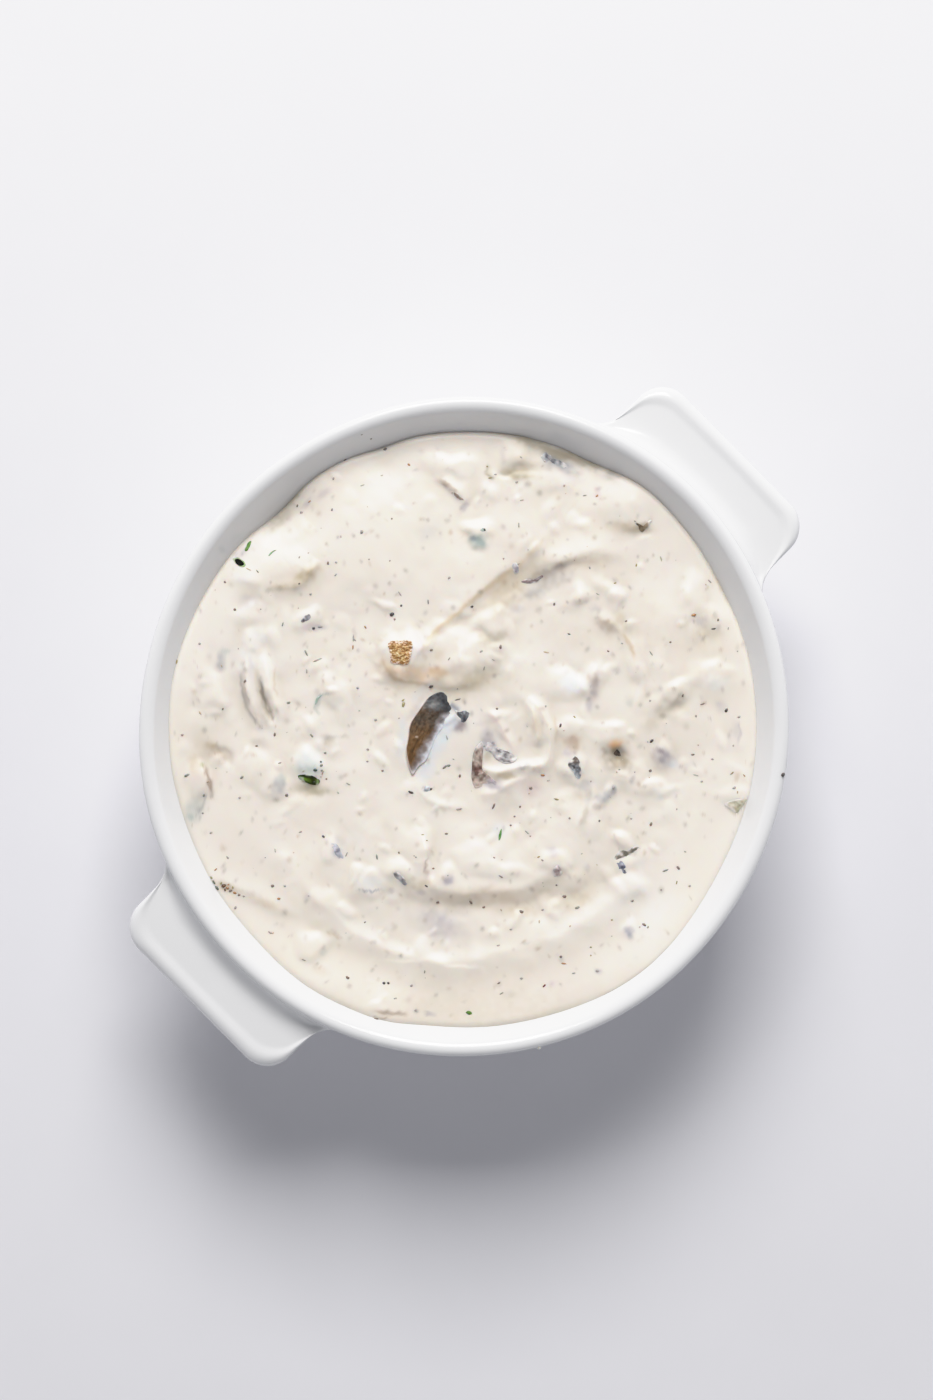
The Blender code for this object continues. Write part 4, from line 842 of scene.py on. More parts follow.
def veiled_specks(u, v, colour):
    """Small pieces of pepper and herb just under the cream: seeded soft grey, brown and green spots."""
    chance = np.random.default_rng(17)
    tints = ((0.15, 0.12, 0.10), (0.22, 0.17, 0.13), (0.18, 0.18, 0.15), (0.28, 0.23, 0.24),
             (0.36, 0.22, 0.12))
    for _ in range(SPECK_COUNT):
        bearing = chance.uniform(0, 2 * math.pi)
        reach = SPECK_REACH * math.sqrt(chance.uniform())
        centre = (reach * math.cos(bearing), reach * math.sin(bearing))
        size = chance.uniform(0.28, 0.80)
        thin = chance.uniform(0.4, 1.0)
        turn = chance.uniform(0, 180)
        strength = chance.uniform(0.12, 0.56) ** 1.5
        tint = tints[chance.integers(len(tints))]
        inside = near(u, v, centre, 3 * size)
        share = strength * blot(u[inside], v[inside], *centre, size, thin * size, turn, 1.2)
        colour[inside] = mix(colour[inside], tint, share)


def veil_and_shade_colours(u, v, cream):
    """Colour of the dressing at each place: cream with veils, painted shade and light, lines and sunk
    specks.
    """
    colour = np.ones(u.shape + (3,)) * cream
    wash = value_noise(u, v, 9.0, 21) + 0.5 * value_noise(u, v, 3.1, 22)
    colour *= 1 - 0.016 * (1 + wash[..., None]) * np.array((0.8, 1.0, 1.5))
    bent_u = u + 0.30 * value_noise(u, v, 0.9, 33)
    bent_v = v + 0.30 * value_noise(u, v, 0.9, 34)
    for centre_u, centre_v, half_length, half_width, turn, tint, strength in VEILS_PAINTED_SHADE_AND_LIGHT:
        inside = near(u, v, (centre_u, centre_v), 2.6 * max(half_length, half_width) + 1)
        ragged = 1 + 0.35 * value_noise(u[inside], v[inside], 1.1, 31)
        power = 1.4 if half_length < 5 else 1.0
        share = strength * np.clip(blot(bent_u[inside], bent_v[inside], centre_u, centre_v, half_length,
                                        half_width, turn, power) * ragged, 0, 1)
        colour[inside] = mix(colour[inside], tint, share)
    for tint, strength, half_width, points in LINES:
        path = smooth_path(points, 8 * len(points))
        inside = near(u, v, *path_middle(path, 3 * half_width))
        signed, along = path_frame(bent_u[inside], bent_v[inside], path)
        fade = smooth_step(along, -0.05, 0.2) * (1 - smooth_step(along, 0.8, 1.05))
        share = strength * fade * np.exp(-(signed / half_width) ** 2)
        colour[inside] = mix(colour[inside], tint, share)
    veiled_specks(u, v, colour)
    # Painted shade: a dark olive-brown band along the dressing's edge in the groove by the wall, stronger
    # towards the far side.
    radius, wall, rise = edge_place(u, v)
    edge = np.exp(-((wall + 0.2 - radius) / 0.55) ** 2) * (0.25 + 0.55 * smooth_step(v, 0, 45))
    return mix(colour, (0.30, 0.25, 0.19), edge)


def hollow_share(height, reach):
    """How far each place of a grid lies below the mean of eight places round it, from 0 to 1."""
    count = len(height)
    deepest = 0.45
    wide = np.pad(height, reach, mode='edge')
    around = np.zeros(height.shape)
    for turn in range(8):
        row = reach + round(reach * math.cos(turn * math.pi / 4))
        column = reach + round(reach * math.sin(turn * math.pi / 4))
        around += wide[row:row + count, column:column + count] / 8
    return np.clip((around - height) / deepest, 0, 1)


def paint(piece, name, colours):
    """Stores a colour for each vertex of a piece, as an attribute that its material reads."""
    rows = np.ones((len(piece.data.vertices), 4), np.float32)
    rows[:, :3] = colours
    layer = piece.data.color_attributes.new(name, 'FLOAT_COLOR', 'POINT')
    layer.data.foreach_set("color", rows.ravel())


def dressing_mesh(count):
    """The dressing's top on a disc grid, its side running down just inside the wall, its bottom."""
    a, b = disc_grid(count)
    bearing = np.arctan2(b, a)
    x_way, y_way = np.cos(bearing) * oval(bearing), np.sin(bearing) * oval(bearing)
    u_way, v_way = to_table(x_way, y_way)
    wall = inner_radius(LEVEL * MM) + edge_height(np.arctan2(v_way, u_way)) * MM * math.tan(FLARE_LEAN)
    reach = np.hypot(a, b) * (wall + 0.5 * MM)
    x, y = reach * x_way, reach * y_way
    u, v = to_table(x, y)
    height = surface_height(u, v)
    top = np.stack([x, y, height * MM], axis=-1).reshape(-1, 3)
    row = np.arange(count - 1)[:, None] * count
    here = row + np.arange(count - 1)[None, :]
    quads = np.stack([here, here + count, here + count + 1, here + 1], axis=-1).reshape(-1, 4)
    # The grid's border, once round, is the top ring of the side.
    last = count - 1
    lap = np.concatenate([np.arange(last) * count, last * count + np.arange(last),
                          count * count - 1 - np.arange(last) * count, last - np.arange(last)])
    rim = top[lap]
    rings = [rim]
    for low, share in SIDE_RINGS:
        ring = rim.copy()
        inner = (inner_radius(low) + 0.3 * MM) * share
        scale = inner / (np.hypot(rim[:, 0], rim[:, 1]) / oval(np.arctan2(rim[:, 1], rim[:, 0])))
        ring[:, :2] = rim[:, :2] * scale[:, None]
        ring[:, 2] = low
        rings.append(ring)
    lower = np.vstack(rings[1:] + [[(0, 0, low)]])
    columns = len(lap)
    pole = len(top) + len(SIDE_RINGS) * columns
    index = np.concatenate([lap, np.arange(len(top), pole)])
    sides = index[ring_faces(len(rings), columns)]
    bottom = fan_faces(pole, pole - columns, columns, False)
    colours = veil_and_shade_colours(u, v, CREAM)
    # Painted shade: the shade tint is mixed into the dressing's hollows, more where they lie deeper.
    for cells, strength in ((3, 0.20), (7, 0.26)):
        colours = mix(colours, SHADE, strength * hollow_share(height, cells))
    colours = colours.reshape(-1, 3)
    piece = mesh_piece("dressing_top", np.vstack([top, lower]), np.vstack([quads, sides]), bottom)
    paint(piece, "veil", np.vstack([colours, np.tile(CREAM, (len(lower), 1))]))
    return piece


CREAM = np.array((0.87, 0.81, 0.745))

dressing_look, tree, shader = new_material("ranch_dressing")
mottle = add_mottle(tree, 160.0, 0.03)
# The 'veil' attribute holds all the dressing's painted colours, its painted shade and light among them.
veil = add_node(tree, 'ShaderNodeAttribute', attribute_name="veil").outputs["Color"]
tree.links.new(tinted(tree, veil, mottle.outputs["Factor"]), shader.inputs["Base Color"])
for socket, value in (("Roughness", 0.42), ("Specular IOR Level", 0.45), ("Subsurface Weight", 0.65),
                      ("Subsurface Radius", (1.0, 0.68, 0.42)), ("Subsurface Scale", 1.0 * MM)):
    shader.inputs[socket].default_value = value
add_bump(tree, shader, mottle.outputs["Height"], 0.15, 0.10 * MM)

dressing = dressing_mesh(GRID_SIDE)
dressing.data.materials.append(dressing_look)
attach(dressing, "root")
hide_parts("dressing")

# ------------------------------------------------------------------------------------------------
# The browned mushroom slice is a curved piece of cap, its skin dark and wet at the far end, with a
# painted highlight there, and fibrous below. Its left edge lies clear, its right side dips under a
# thin veil of cream.
# ------------------------------------------------------------------------------------------------
EDGE_DROPS = (0.10, 0.45, 1.60)


def closed_outline(points, count):
    """A closed Catmull-Rom curve through an outline's points, run counterclockwise (area above 0)."""
    steps = 16
    ring = list(points[-2:]) + list(points) + list(points[:2])
    curve = smooth_path(ring, (len(ring) - 1) * steps + 1)[2 * steps:-steps]
    along = np.concatenate(([0], np.cumsum(np.hypot(*np.diff(curve, axis=0).T))))
    even = np.linspace(0, along[-1], count, endpoint=False)
    u, v = np.interp(even, along, curve[:, 0]), np.interp(even, along, curve[:, 1])
    runs_left = np.sum(u * np.roll(v, -1) - v * np.roll(u, -1)) > 0
    outline = np.stack([u, v], axis=1)
    return outline if runs_left else outline[::-1]


def cap_rings(outline, rings, crown, proud, lean, ragged, seed):
    """A piece's upper side: rings of its outline drawn in to its middle, crowned by 1 - r r.

    It stands proud of the cream's top by a given height plus a lean (rise for each millimetre
    along u and v from the middle), with noise on it, and its last three rings are let down into
    the cream by the edge drops, in millimetres. Returns the vertices in metres, and each
    vertex's u, v and share of the way out.
    """
    centre = outline.mean(axis=0)
    share = np.concatenate([np.linspace(0.06, 1.0, rings), [1.0, 0.98]])[:, None]
    u = centre[0] + (outline[:, 0] - centre[0]) * share
    v = centre[1] + (outline[:, 1] - centre[1]) * share
    rise = proud + crown * (1 - share ** 2) + lean[0] * (u - centre[0]) + lean[1] * (v - centre[1])
    rise = rise + ragged * value_noise(u, v, 0.9, seed) + 0.5 * ragged * value_noise(u, v, 0.42, seed + 1)
    height = surface_height(u, v) + rise
    height[-3:] -= np.array(EDGE_DROPS)[:, None]
    x, y = from_table(u, v)
    return np.stack([x, y, height * MM], axis=-1), u, v, share + 0 * u


def cap_piece(name, bits, rings, columns):
    """One object of several capped bits: (outline, crown, proud, lean, ragged, seed) for each.

    Returns the object with each vertex's u, v, share of the way out, and the bit it belongs to.
    """
    vertices, quads, caps, places = [], [], [], []
    first = 0
    for index, (outline, crown, proud, lean, ragged, seed) in enumerate(bits):
        rows, u, v, share = cap_rings(closed_outline(outline, columns), rings, crown, proud, lean,
                                      ragged, seed)
        count = rows.shape[0] * columns
        top, low = rows[0].mean(axis=0), rows[-1].mean(axis=0)
        low[2] = rows[-1][:, 2].min()
        vertices += [rows.reshape(-1, 3), [top, low]]
        quads.append(ring_faces(rows.shape[0], columns, first))
        pole = first + count
        caps += [fan_faces(pole, first, columns, True),
                 fan_faces(pole + 1, pole - columns, columns, False)]
        middle = (u[0].mean(), v[0].mean())
        on_rings = np.stack([u.ravel(), v.ravel(), share.ravel(), np.full(count, float(index))], axis=1)
        places += [on_rings, [(*middle, 0, index), (*middle, 1, index)]]
        first += count + 2
    piece = mesh_piece(name, np.vstack(vertices), np.vstack(quads), np.vstack(caps))
    return piece, np.vstack(places).T


def painted_food(name, roughness, mottle_size, mottle_amount, bump_depth, coat, specular=0.5):
    """A material that reads a piece's own painted colours, mottled, with a fine bump."""
    material, tree, shader = new_material(name)
    mottle = add_mottle(tree, mottle_size, mottle_amount)
    paint_layer = add_node(tree, 'ShaderNodeAttribute', attribute_name="shade").outputs["Color"]
    tree.links.new(tinted(tree, paint_layer, mottle.outputs["Factor"]), shader.inputs["Base Color"])
    for socket, value in (("Roughness", roughness), ("Specular IOR Level", specular),
                          ("Coat Weight", coat), ("Coat Roughness", 0.15),
                          ("Subsurface Weight", 0.25), ("Subsurface Scale", 0.4 * MM)):
        shader.inputs[socket].default_value = value
    add_bump(tree, shader, mottle.outputs["Height"], 0.5, bump_depth)
    return material


SLICE_OUTLINE = (
    (-5.0, 8.1), (-7.0, 7.7), (-8.9, 6.3), (-10.9, 3.6), (-12.7, 0.7), (-13.2, -2.6), (-13.7, -5.6),
    (-13.2, -8.6), (-12.2, -11.2), (-10.9, -9.4), (-9.1, -8.0), (-8.0, -5.6), (-6.9, -2.8), (-5.1, -0.1),
    (-4.3, 2.2), (-2.8, 3.4), (-1.9, 4.9), (-3.5, 6.8),
)
mushroom_skin = painted_food("mushroom_skin", 0.5, 900.0, 0.5, 0.10 * MM, 0.06, specular=0.3)
mushroom_slice, (u, v, out, bit) = cap_piece(
    "mushroom_slice_browned", ((SLICE_OUTLINE, 0.30, 0.32, (-0.075, 0.0), 0.06, 41),),
    rings=44, columns=150)
# Fibres run down the slice: noise stretched along it. Its far end is slate, its near end brown.
across = u * 0.93 - v * 0.36
down = u * 0.36 + v * 0.93
fibre = value_noise(across * 4.2, down, 1.6, 51) + 0.6 * value_noise(across * 7.0, down * 1.6, 1.1, 52)
spots = value_noise(u, v, 0.62, 57) + 0.6 * value_noise(u, v, 0.31, 58)
flesh = mix((0.068, 0.034, 0.012), (0.200, 0.107, 0.042), 0.55 + 0.36 * fibre + 0.28 * spots)
middle = np.exp(-((v - 2.0) / 2.6) ** 2) * (0.72 + 0.40 * value_noise(u, v, 1.3, 53))
flesh = mix(flesh, mix((0.030, 0.028, 0.024), (0.115, 0.100, 0.085), 0.45 + 0.4 * spots), middle)
slate_end = smooth_step(v + 0.9 * fibre + 0.4 * spots + 0.35 * u + 2.2, 1.6, 5.4)
flesh = mix(flesh, mix((0.022, 0.024, 0.030), (0.128, 0.132, 0.146), 0.35 + 0.35 * spots), slate_end)
# A painted highlight: a pale grey spot near the far end stands in for light on the wet skin.
painted_highlight = np.exp(-((u + 6.9) / 1.3) ** 2 - ((v - 5.4) / 1.3) ** 2) * (0.6 + 0.4 * spots)
flesh = mix(flesh, (0.21, 0.205, 0.195), 0.75 * painted_highlight)
dark_hook = np.exp(-((u + 4.0) / 1.1) ** 2 - ((v - 5.0) / 0.9) ** 2)
flesh = mix(flesh, (0.020, 0.021, 0.026), 0.9 * dark_hook)
right_edge = np.interp(v, (-11.2, -8.0, -5.6, -2.6, 0.2, 2.4, 3.8, 5.2),
                       (-11.8, -9.9, -8.6, -7.3, -5.2, -4.0, -2.1, -0.6))
inward = u - right_edge + 0.7 * value_noise(u, v, 1.3, 54) + 0.3 * value_noise(u, v, 0.5, 55)
flesh = mix(flesh, (0.34, 0.31, 0.32), 0.75 * smooth_step(inward, -2.6, -0.4))
flesh = mix(flesh, (0.74, 0.75, 0.80), smooth_step(inward, -1.0, 0.5))
pink_edge = smooth_step(out, 0.94, 0.985) * smooth_step(-u, 8.0, 10.0)
flesh = mix(flesh, (0.74, 0.62, 0.58), 0.8 * pink_edge)
tear = np.exp(-(((v + 3.9 + 0.14 * u) / 0.20) ** 2))
tear = tear * smooth_step(value_noise(u, v, 0.8, 56), -0.1, 0.4) * smooth_step(-u, 8.0, 9.5)
paint(mushroom_slice, "shade", mix(flesh, (0.62, 0.50, 0.42), 0.7 * tear))
mushroom_slice.data.materials.append(mushroom_skin)
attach(mushroom_slice, "root")
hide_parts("mushroom_slice")

# ------------------------------------------------------------------------------------------------
# The second mushroom piece is a bent, crumbly end of cap and gills, half under the cream's curl.
# Its left arm is brown and coarse, its right arm grey, and cream fills the notch between them.
# ------------------------------------------------------------------------------------------------
LEFT_ARM = (
    (4.0, -3.4), (3.0, -4.4), (2.1, -6.0), (1.8, -8.0), (1.7, -10.0), (1.6, -12.0), (2.0, -13.6),
    (2.6, -14.4), (3.8, -14.2), (5.0, -13.9), (6.6, -14.3), (8.4, -13.8), (7.2, -12.9), (6.0, -12.2),
    (5.0, -11.8), (4.3, -11.1), (4.3, -9.8), (4.0, -8.4), (4.0, -6.6), (4.4, -4.8),
)
RIGHT_ARM = (
    (4.4, -5.3), (4.5, -4.0), (5.4, -3.0), (6.6, -3.1), (7.6, -4.4), (8.8, -5.2), (10.2, -5.6),
    (11.5, -6.5), (12.4, -7.5), (11.3, -8.4), (9.6, -8.7), (8.0, -8.1), (7.0, -7.2), (6.0, -6.0),
)
mushroom_flesh = painted_food("mushroom_flesh", 0.52, 1400.0, 0.35, 0.12 * MM, 0.08)
mushroom_piece, (u, v, out, bit) = cap_piece(
    "mushroom_piece_bent", ((LEFT_ARM, 0.50, 0.06, (-0.05, 0.03), 0.13, 61),
                            (RIGHT_ARM, 0.36, -0.03, (0.0, -0.05), 0.11, 63)),
    rings=30, columns=110)
clumps = value_noise(u, v, 0.95, 65) + 0.5 * value_noise(u, v, 0.4, 66)
pale_foot = smooth_step(-v, 11.0, 12.5)
brown_arm = mix((0.16, 0.105, 0.080), (0.56, 0.46, 0.40), 0.42 + 0.55 * clumps + 0.42 * pale_foot)
red_core = np.exp(-((u - 3.0) / 1.2) ** 2 - ((v + 10.1) / 0.9) ** 2)
brown_arm = mix(brown_arm, mix((0.075, 0.028, 0.022), (0.26, 0.12, 0.10), 0.5 + 0.5 * clumps), red_core)
grey_arm = mix((0.14, 0.125, 0.13), (0.72, 0.69, 0.69), 0.54 + 0.60 * clumps)
lower_edge = smooth_step(out, 0.72, 0.92) * smooth_step(-v - 0.35 * (u - 8.0), 7.0, 8.2)
grey_arm = mix(grey_arm, (0.14, 0.09, 0.11), 0.8 * lower_edge)
flesh = mix(brown_arm, grey_arm, np.clip(bit + smooth_step(v, -5.4, -3.9), 0, 1))
plum_foot = smooth_step(u, 4.6, 6.0) * smooth_step(-v, 11.4, 12.6)
flesh = mix(flesh, mix((0.38, 0.32, 0.35), (0.74, 0.68, 0.71), 0.5 + 0.5 * clumps), plum_foot)
bend = v + 0.6 * value_noise(u, v, 0.8, 68)
crack = np.exp(-((bend + 11.5 - 0.5 * (u - 3.0)) / 0.15) ** 2)
crack = crack + np.exp(-((bend + 12.9 - 1.2 * (u - 4.0)) / 0.2) ** 2)
crack = crack * smooth_step(clumps, -0.5, 0.2)
flesh = mix(flesh, (0.72, 0.62, 0.58), 0.7 * crack * (1 - bit))
haze = np.exp(-((u - 5.4) / 1.7) ** 2 - ((v + 4.0) / 1.7) ** 2)
flesh = mix(flesh, (0.40, 0.36, 0.39), 0.85 * haze)
veil = smooth_step(0.30 * value_noise(u, v, 1.1, 67) + out + 0.12 * haze, 0.80, 1.02)
veil = veil * (1 - 0.7 * (bit == 0) * smooth_step(-u, -3.2, -2.2))
veil = np.maximum(veil, bit * smooth_step(u, 10.2, 12.0))
paint(mushroom_piece, "shade", mix(flesh, (0.76, 0.71, 0.68), 0.85 * veil))
mushroom_piece.data.materials.append(mushroom_flesh)
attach(mushroom_piece, "root")
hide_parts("mushroom_piece")

# ------------------------------------------------------------------------------------------------
# The mushroom stem lies on a slant in its roll of cream. Its square cut end faces up, toasted tan,
# dry and full of torn pores, inside a smooth white lip.
# ------------------------------------------------------------------------------------------------
STEM_OUTLINE = (
    (-17.9, 19.2), (-17.5, 17.6), (-17.3, 16.2), (-17.1, 14.9), (-15.4, 14.6), (-14.0, 14.4), (-13.0, 14.7),
    (-12.6, 16.0), (-12.2, 17.6), (-12.2, 19.8), (-13.2, 20.3), (-15.0, 20.2), (-17.0, 20.1),
)
stem_look = painted_food("toasted_stem", 0.75, 1700.0, 0.5, 0.25 * MM, 0.0)
mushroom_stem, (u, v, out, bit) = cap_piece(
    "mushroom_stem_toasted", ((STEM_OUTLINE, 0.04, 0.20, (0.0, 0.0), 0.09, 71),),
    rings=40, columns=130)
torn = value_noise(u * 0.9 + 0.5 * v, v * 2.6, 0.50, 73) + 0.9 * value_noise(u * 1.4, v * 2.4, 0.26, 74)
toast = mix((0.27, 0.120, 0.027), (0.69, 0.43, 0.175), 0.52 + 0.75 * torn)
toast = mix(toast, (0.88, 0.74, 0.50), 0.9 * smooth_step(torn, 0.50, 1.0))
toast = mix(toast, (0.20, 0.085, 0.02), 0.8 * smooth_step(-torn, 0.55, 1.0))
pink_band = np.exp(-((v - 19.6 + 0.1 * u + 1.5) / 0.35) ** 2) * smooth_step(torn, -0.4, 0.5)
toast = mix(toast, (0.88, 0.74, 0.66), 0.7 * pink_band)
pink_rim = smooth_step(out + 0.22 * torn, 0.84, 1.02)
paint(mushroom_stem, "shade", mix(toast, (0.86, 0.72, 0.64), 0.9 * pink_rim))
mushroom_stem.data.materials.append(stem_look)
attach(mushroom_stem, "root")
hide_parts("mushroom_stem")

# ------------------------------------------------------------------------------------------------
# The spring onion is a short cut length of green stalk. Cream coats it but for its dark cut end,
# which faces the near side, with a bright green rim and a dark hollow, darkened as painted shade.
# ------------------------------------------------------------------------------------------------
ONION_END = (
    (-39.0, -11.5), (-37.8, -11.1), (-36.2, -11.2), (-34.9, -11.7), (-33.8, -12.5), (-34.1, -13.4),
    (-35.4, -13.6), (-37.0, -13.1), (-38.3, -12.5),
)
onion_skin = painted_food("spring_onion_skin", 0.42, 700.0, 0.4, 0.06 * MM, 0.0, specular=0.17)
spring_onion, (u, v, out, bit) = cap_piece(
    "spring_onion_cut", ((ONION_END, 0.40, 0.06, (0.0, -0.05), 0.13, 81),),
    rings=24, columns=90)
strand = value_noise(u, v * 3.0, 1.1, 83) + 0.5 * value_noise(u * 2, v * 2, 0.8, 84)
leaf = mix((0.018, 0.026, 0.003), (0.085, 0.115, 0.009), 0.4 + 0.5 * strand)
left_rim = np.exp(-((v + 12.1 + 0.34 * (u + 37.6)) / 0.42) ** 2) * smooth_step(-u, 35.6, 37.4)
leaf = mix(leaf, (0.17, 0.31, 0.03), 0.95 * left_rim)
# Painted shade: the upper part of the cut end is darkened near black where the open inside lies.
hollow = smooth_step(v + 0.10 * (u + 36), -12.2, -11.7)
leaf = mix(leaf, (0.008, 0.012, 0.003), 0.75 * hollow)
right_rim = np.exp(-((u + 34.3) / 0.35) ** 2 - ((v + 12.9) / 0.7) ** 2)
leaf = mix(leaf, (0.30, 0.42, 0.16), 0.8 * right_rim)
cream_edge = smooth_step(value_noise(u, v, 0.8, 85) + 1.2 * out, 1.15, 1.7)
paint(spring_onion, "shade", mix(leaf, (0.52, 0.56, 0.46), 0.8 * cream_edge))
spring_onion.data.materials.append(onion_skin)
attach(spring_onion, "root")
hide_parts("spring_onion")

# ------------------------------------------------------------------------------------------------
# Chopped mushroom bits, too small to stand as pieces of their own, lie part sunk all over: slate
# and brown scraps of cap, a khaki wedge by the wall, and crumbs. Each shows only its upper side.
# ------------------------------------------------------------------------------------------------
# Outline, crown, proud, dark colour, light colour, and how much cream has run over it.
SCRAPS = (
    (((-2.2, 3.9), (-1.2, 3.6), (0, 3.8), (1.5, 3.6), (1, 2.4), (0.2, 1.1), (-0.8, 0.7), (-1.1, 1.9),
     (-2, 2.9)), 0.26, -0.03, (0.04, 0.042, 0.052), (0.25, 0.26, 0.29), 0.16),
    (((25.2, -6.7), (26.1, -6.9), (26.9, -8), (27.2, -9.6), (27.4, -11.4), (26.9, -12.2), (26, -11.9),
     (25.3, -10.6), (24.4, -9.6), (24.1, -8.6), (24.7, -7.6)), 0.3, -0.03, (0.048, 0.046, 0.052),
     (0.44, 0.47, 0.52), 0.26),
    (((16.6, 64.6), (18.6, 64.6), (21, 63.4), (23.3, 62), (24.6, 60.9), (23.2, 60.3), (21.3, 60.9),
     (19.7, 61.5), (18.2, 62.3)), 0.2, -0.09, (0.12, 0.12, 0.14), (0.56, 0.56, 0.58), 0.7),
    (((34.6, -4.9), (35.6, -4.8), (36.4, -5.5), (37, -6.7), (37.4, -7.9), (36.4, -7.8), (35.4, -7),
     (34.7, -6)), 0.16, -0.08, (0.05, 0.036, 0.028), (0.24, 0.18, 0.14), 0.5),
    (((60.6, -18.2), (62.6, -17.2), (66.4, -16.8), (65, -18.8), (63.5, -20.3), (61.8, -19.3)), 0.3, -0.03,
     (0.4, 0.37, 0.26), (0.68, 0.65, 0.54), 0.5),
    (((34.9, -31.2), (35.3, -29.9), (36.6, -28.8), (38, -29), (39.2, -28.2), (41.4, -27.4), (42.2, -28),
     (40.2, -29), (39.2, -30), (38, -30.4), (36.6, -30.8)), 0.22, -0.08, (0.16, 0.145, 0.115),
     (0.48, 0.45, 0.39), 0.55),
    (((35.3, -31.8), (36.6, -31.3), (37.7, -32.6), (38.3, -34), (37.2, -34.5), (36.1, -33.3)), 0.22, -0.06,
     (0.1, 0.1, 0.14), (0.42, 0.44, 0.52), 0.45),
    (((-31.2, -27.1), (-30.1, -27.2), (-29, -28.5), (-28, -30.4), (-27.9, -31.5), (-29.2, -31.1),
     (-30.5, -29.5), (-31.3, -28.2)), 0.22, -0.08, (0.24, 0.24, 0.29), (0.64, 0.64, 0.7), 0.55),
    (((-16.6, -34), (-15.4, -34), (-14.1, -35.1), (-13.2, -36.4), (-13.8, -37.1), (-15, -36.4),
     (-16.3, -35.1)), 0.22, -0.05, (0.14, 0.13, 0.13), (0.5, 0.5, 0.52), 0.45),
    (((10.9, 37.9), (11.8, 38.6), (12.7, 37.4), (12.7, 36.1), (11.8, 35.6), (11.2, 36.8)), 0.28, -0.02,
     (0.27, 0.24, 0.28), (0.66, 0.62, 0.66), 0.48),
    (((-38.3, 24.5), (-37.6, 25.9), (-36.3, 26.5), (-35.7, 25.8), (-36.8, 24.6)), 0.24, -0.02,
     (0.1, 0.095, 0.11), (0.68, 0.68, 0.72), 0.35),
    (((20.7, -34.2), (20.9, -32.8), (21.8, -32), (22.8, -33), (22.7, -34.3), (21.8, -35.3), (21, -35.1)),
     0.3, -0.04, (0.24, 0.17, 0.17), (0.74, 0.66, 0.66), 0.45),
    (((-9.7, -15), (-9.3, -13.9), (-8.2, -13.8), (-7.7, -14.8), (-8.7, -15.3)), 0.22, -0.03,
     (0.28, 0.3, 0.34), (0.58, 0.6, 0.63), 0.4),
    (((39.7, 47.7), (40.6, 47.5), (41.3, 46.4), (42.2, 46.9), (43, 48.1), (43.8, 48.3), (42.9, 46.6),
     (41.6, 45.2), (40.5, 45.9)), 0.2, -0.04, (0.15, 0.11, 0.065), (0.44, 0.36, 0.25), 0.45),
    (((13.2, 33.9), (14.6, 34.6), (16.4, 34.6), (18.4, 35.6), (18.2, 34.6), (16.8, 33.8), (15, 33.4)), 0.2,
     0.02, (0.16, 0.12, 0.12), (0.44, 0.37, 0.37), 0.42),
    (((-3.2, 55.4), (-1.8, 54.5), (-0.2, 53.2), (-0.6, 52.7), (-2, 53.6)), 0.14, -0.04, (0.3, 0.23, 0.18),
     (0.58, 0.48, 0.42), 0.5),
)


def level_bits(table, ragged, seed):
    """A table's rows as capped bits that don't lean, each with a seed of its own."""
    return [(*row[:3], (0.0, 0.0), ragged, seed + index) for index, row in enumerate(table)]


def bit_looks(table, bit):
    """Dark colour, light colour and share run over with cream, for each vertex, from its bit's row."""
    return [np.array([row[column] for row in table])[bit.astype(int)] for column in (3, 4, 5)]


scraps, (u, v, out, bit) = cap_piece(
    "mushroom_scraps", level_bits(SCRAPS, 0.12, 100), rings=16, columns=48)
darks, lights, run_over = bit_looks(SCRAPS, bit)
grain = value_noise(u, v, 0.80, 91) + 0.5 * value_noise(u, v, 0.4, 92)
scrap_colour = mix(darks, lights, 0.42 + 0.55 * grain)
# The two-toned scrap, the second row, is dark brown at its far end and slate at its near end.
far_end = (bit == 1) * smooth_step(v, -9.4, -8.0)
scrap_colour = mix(scrap_colour, mix((0.035, 0.022, 0.016), (0.20, 0.13, 0.10), 0.4 + 0.5 * grain), far_end)
ragged_out = 0.45 * value_noise(u, v, 0.9, 93) + out
coated = smooth_step(ragged_out, 0.92 - 0.6 * run_over, 1.12 - 0.2 * run_over)
paint(scraps, "shade", mix(scrap_colour, (0.76, 0.71, 0.68), 0.92 * coated))
scraps.data.materials.append(mushroom_flesh)
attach(scraps, "root")

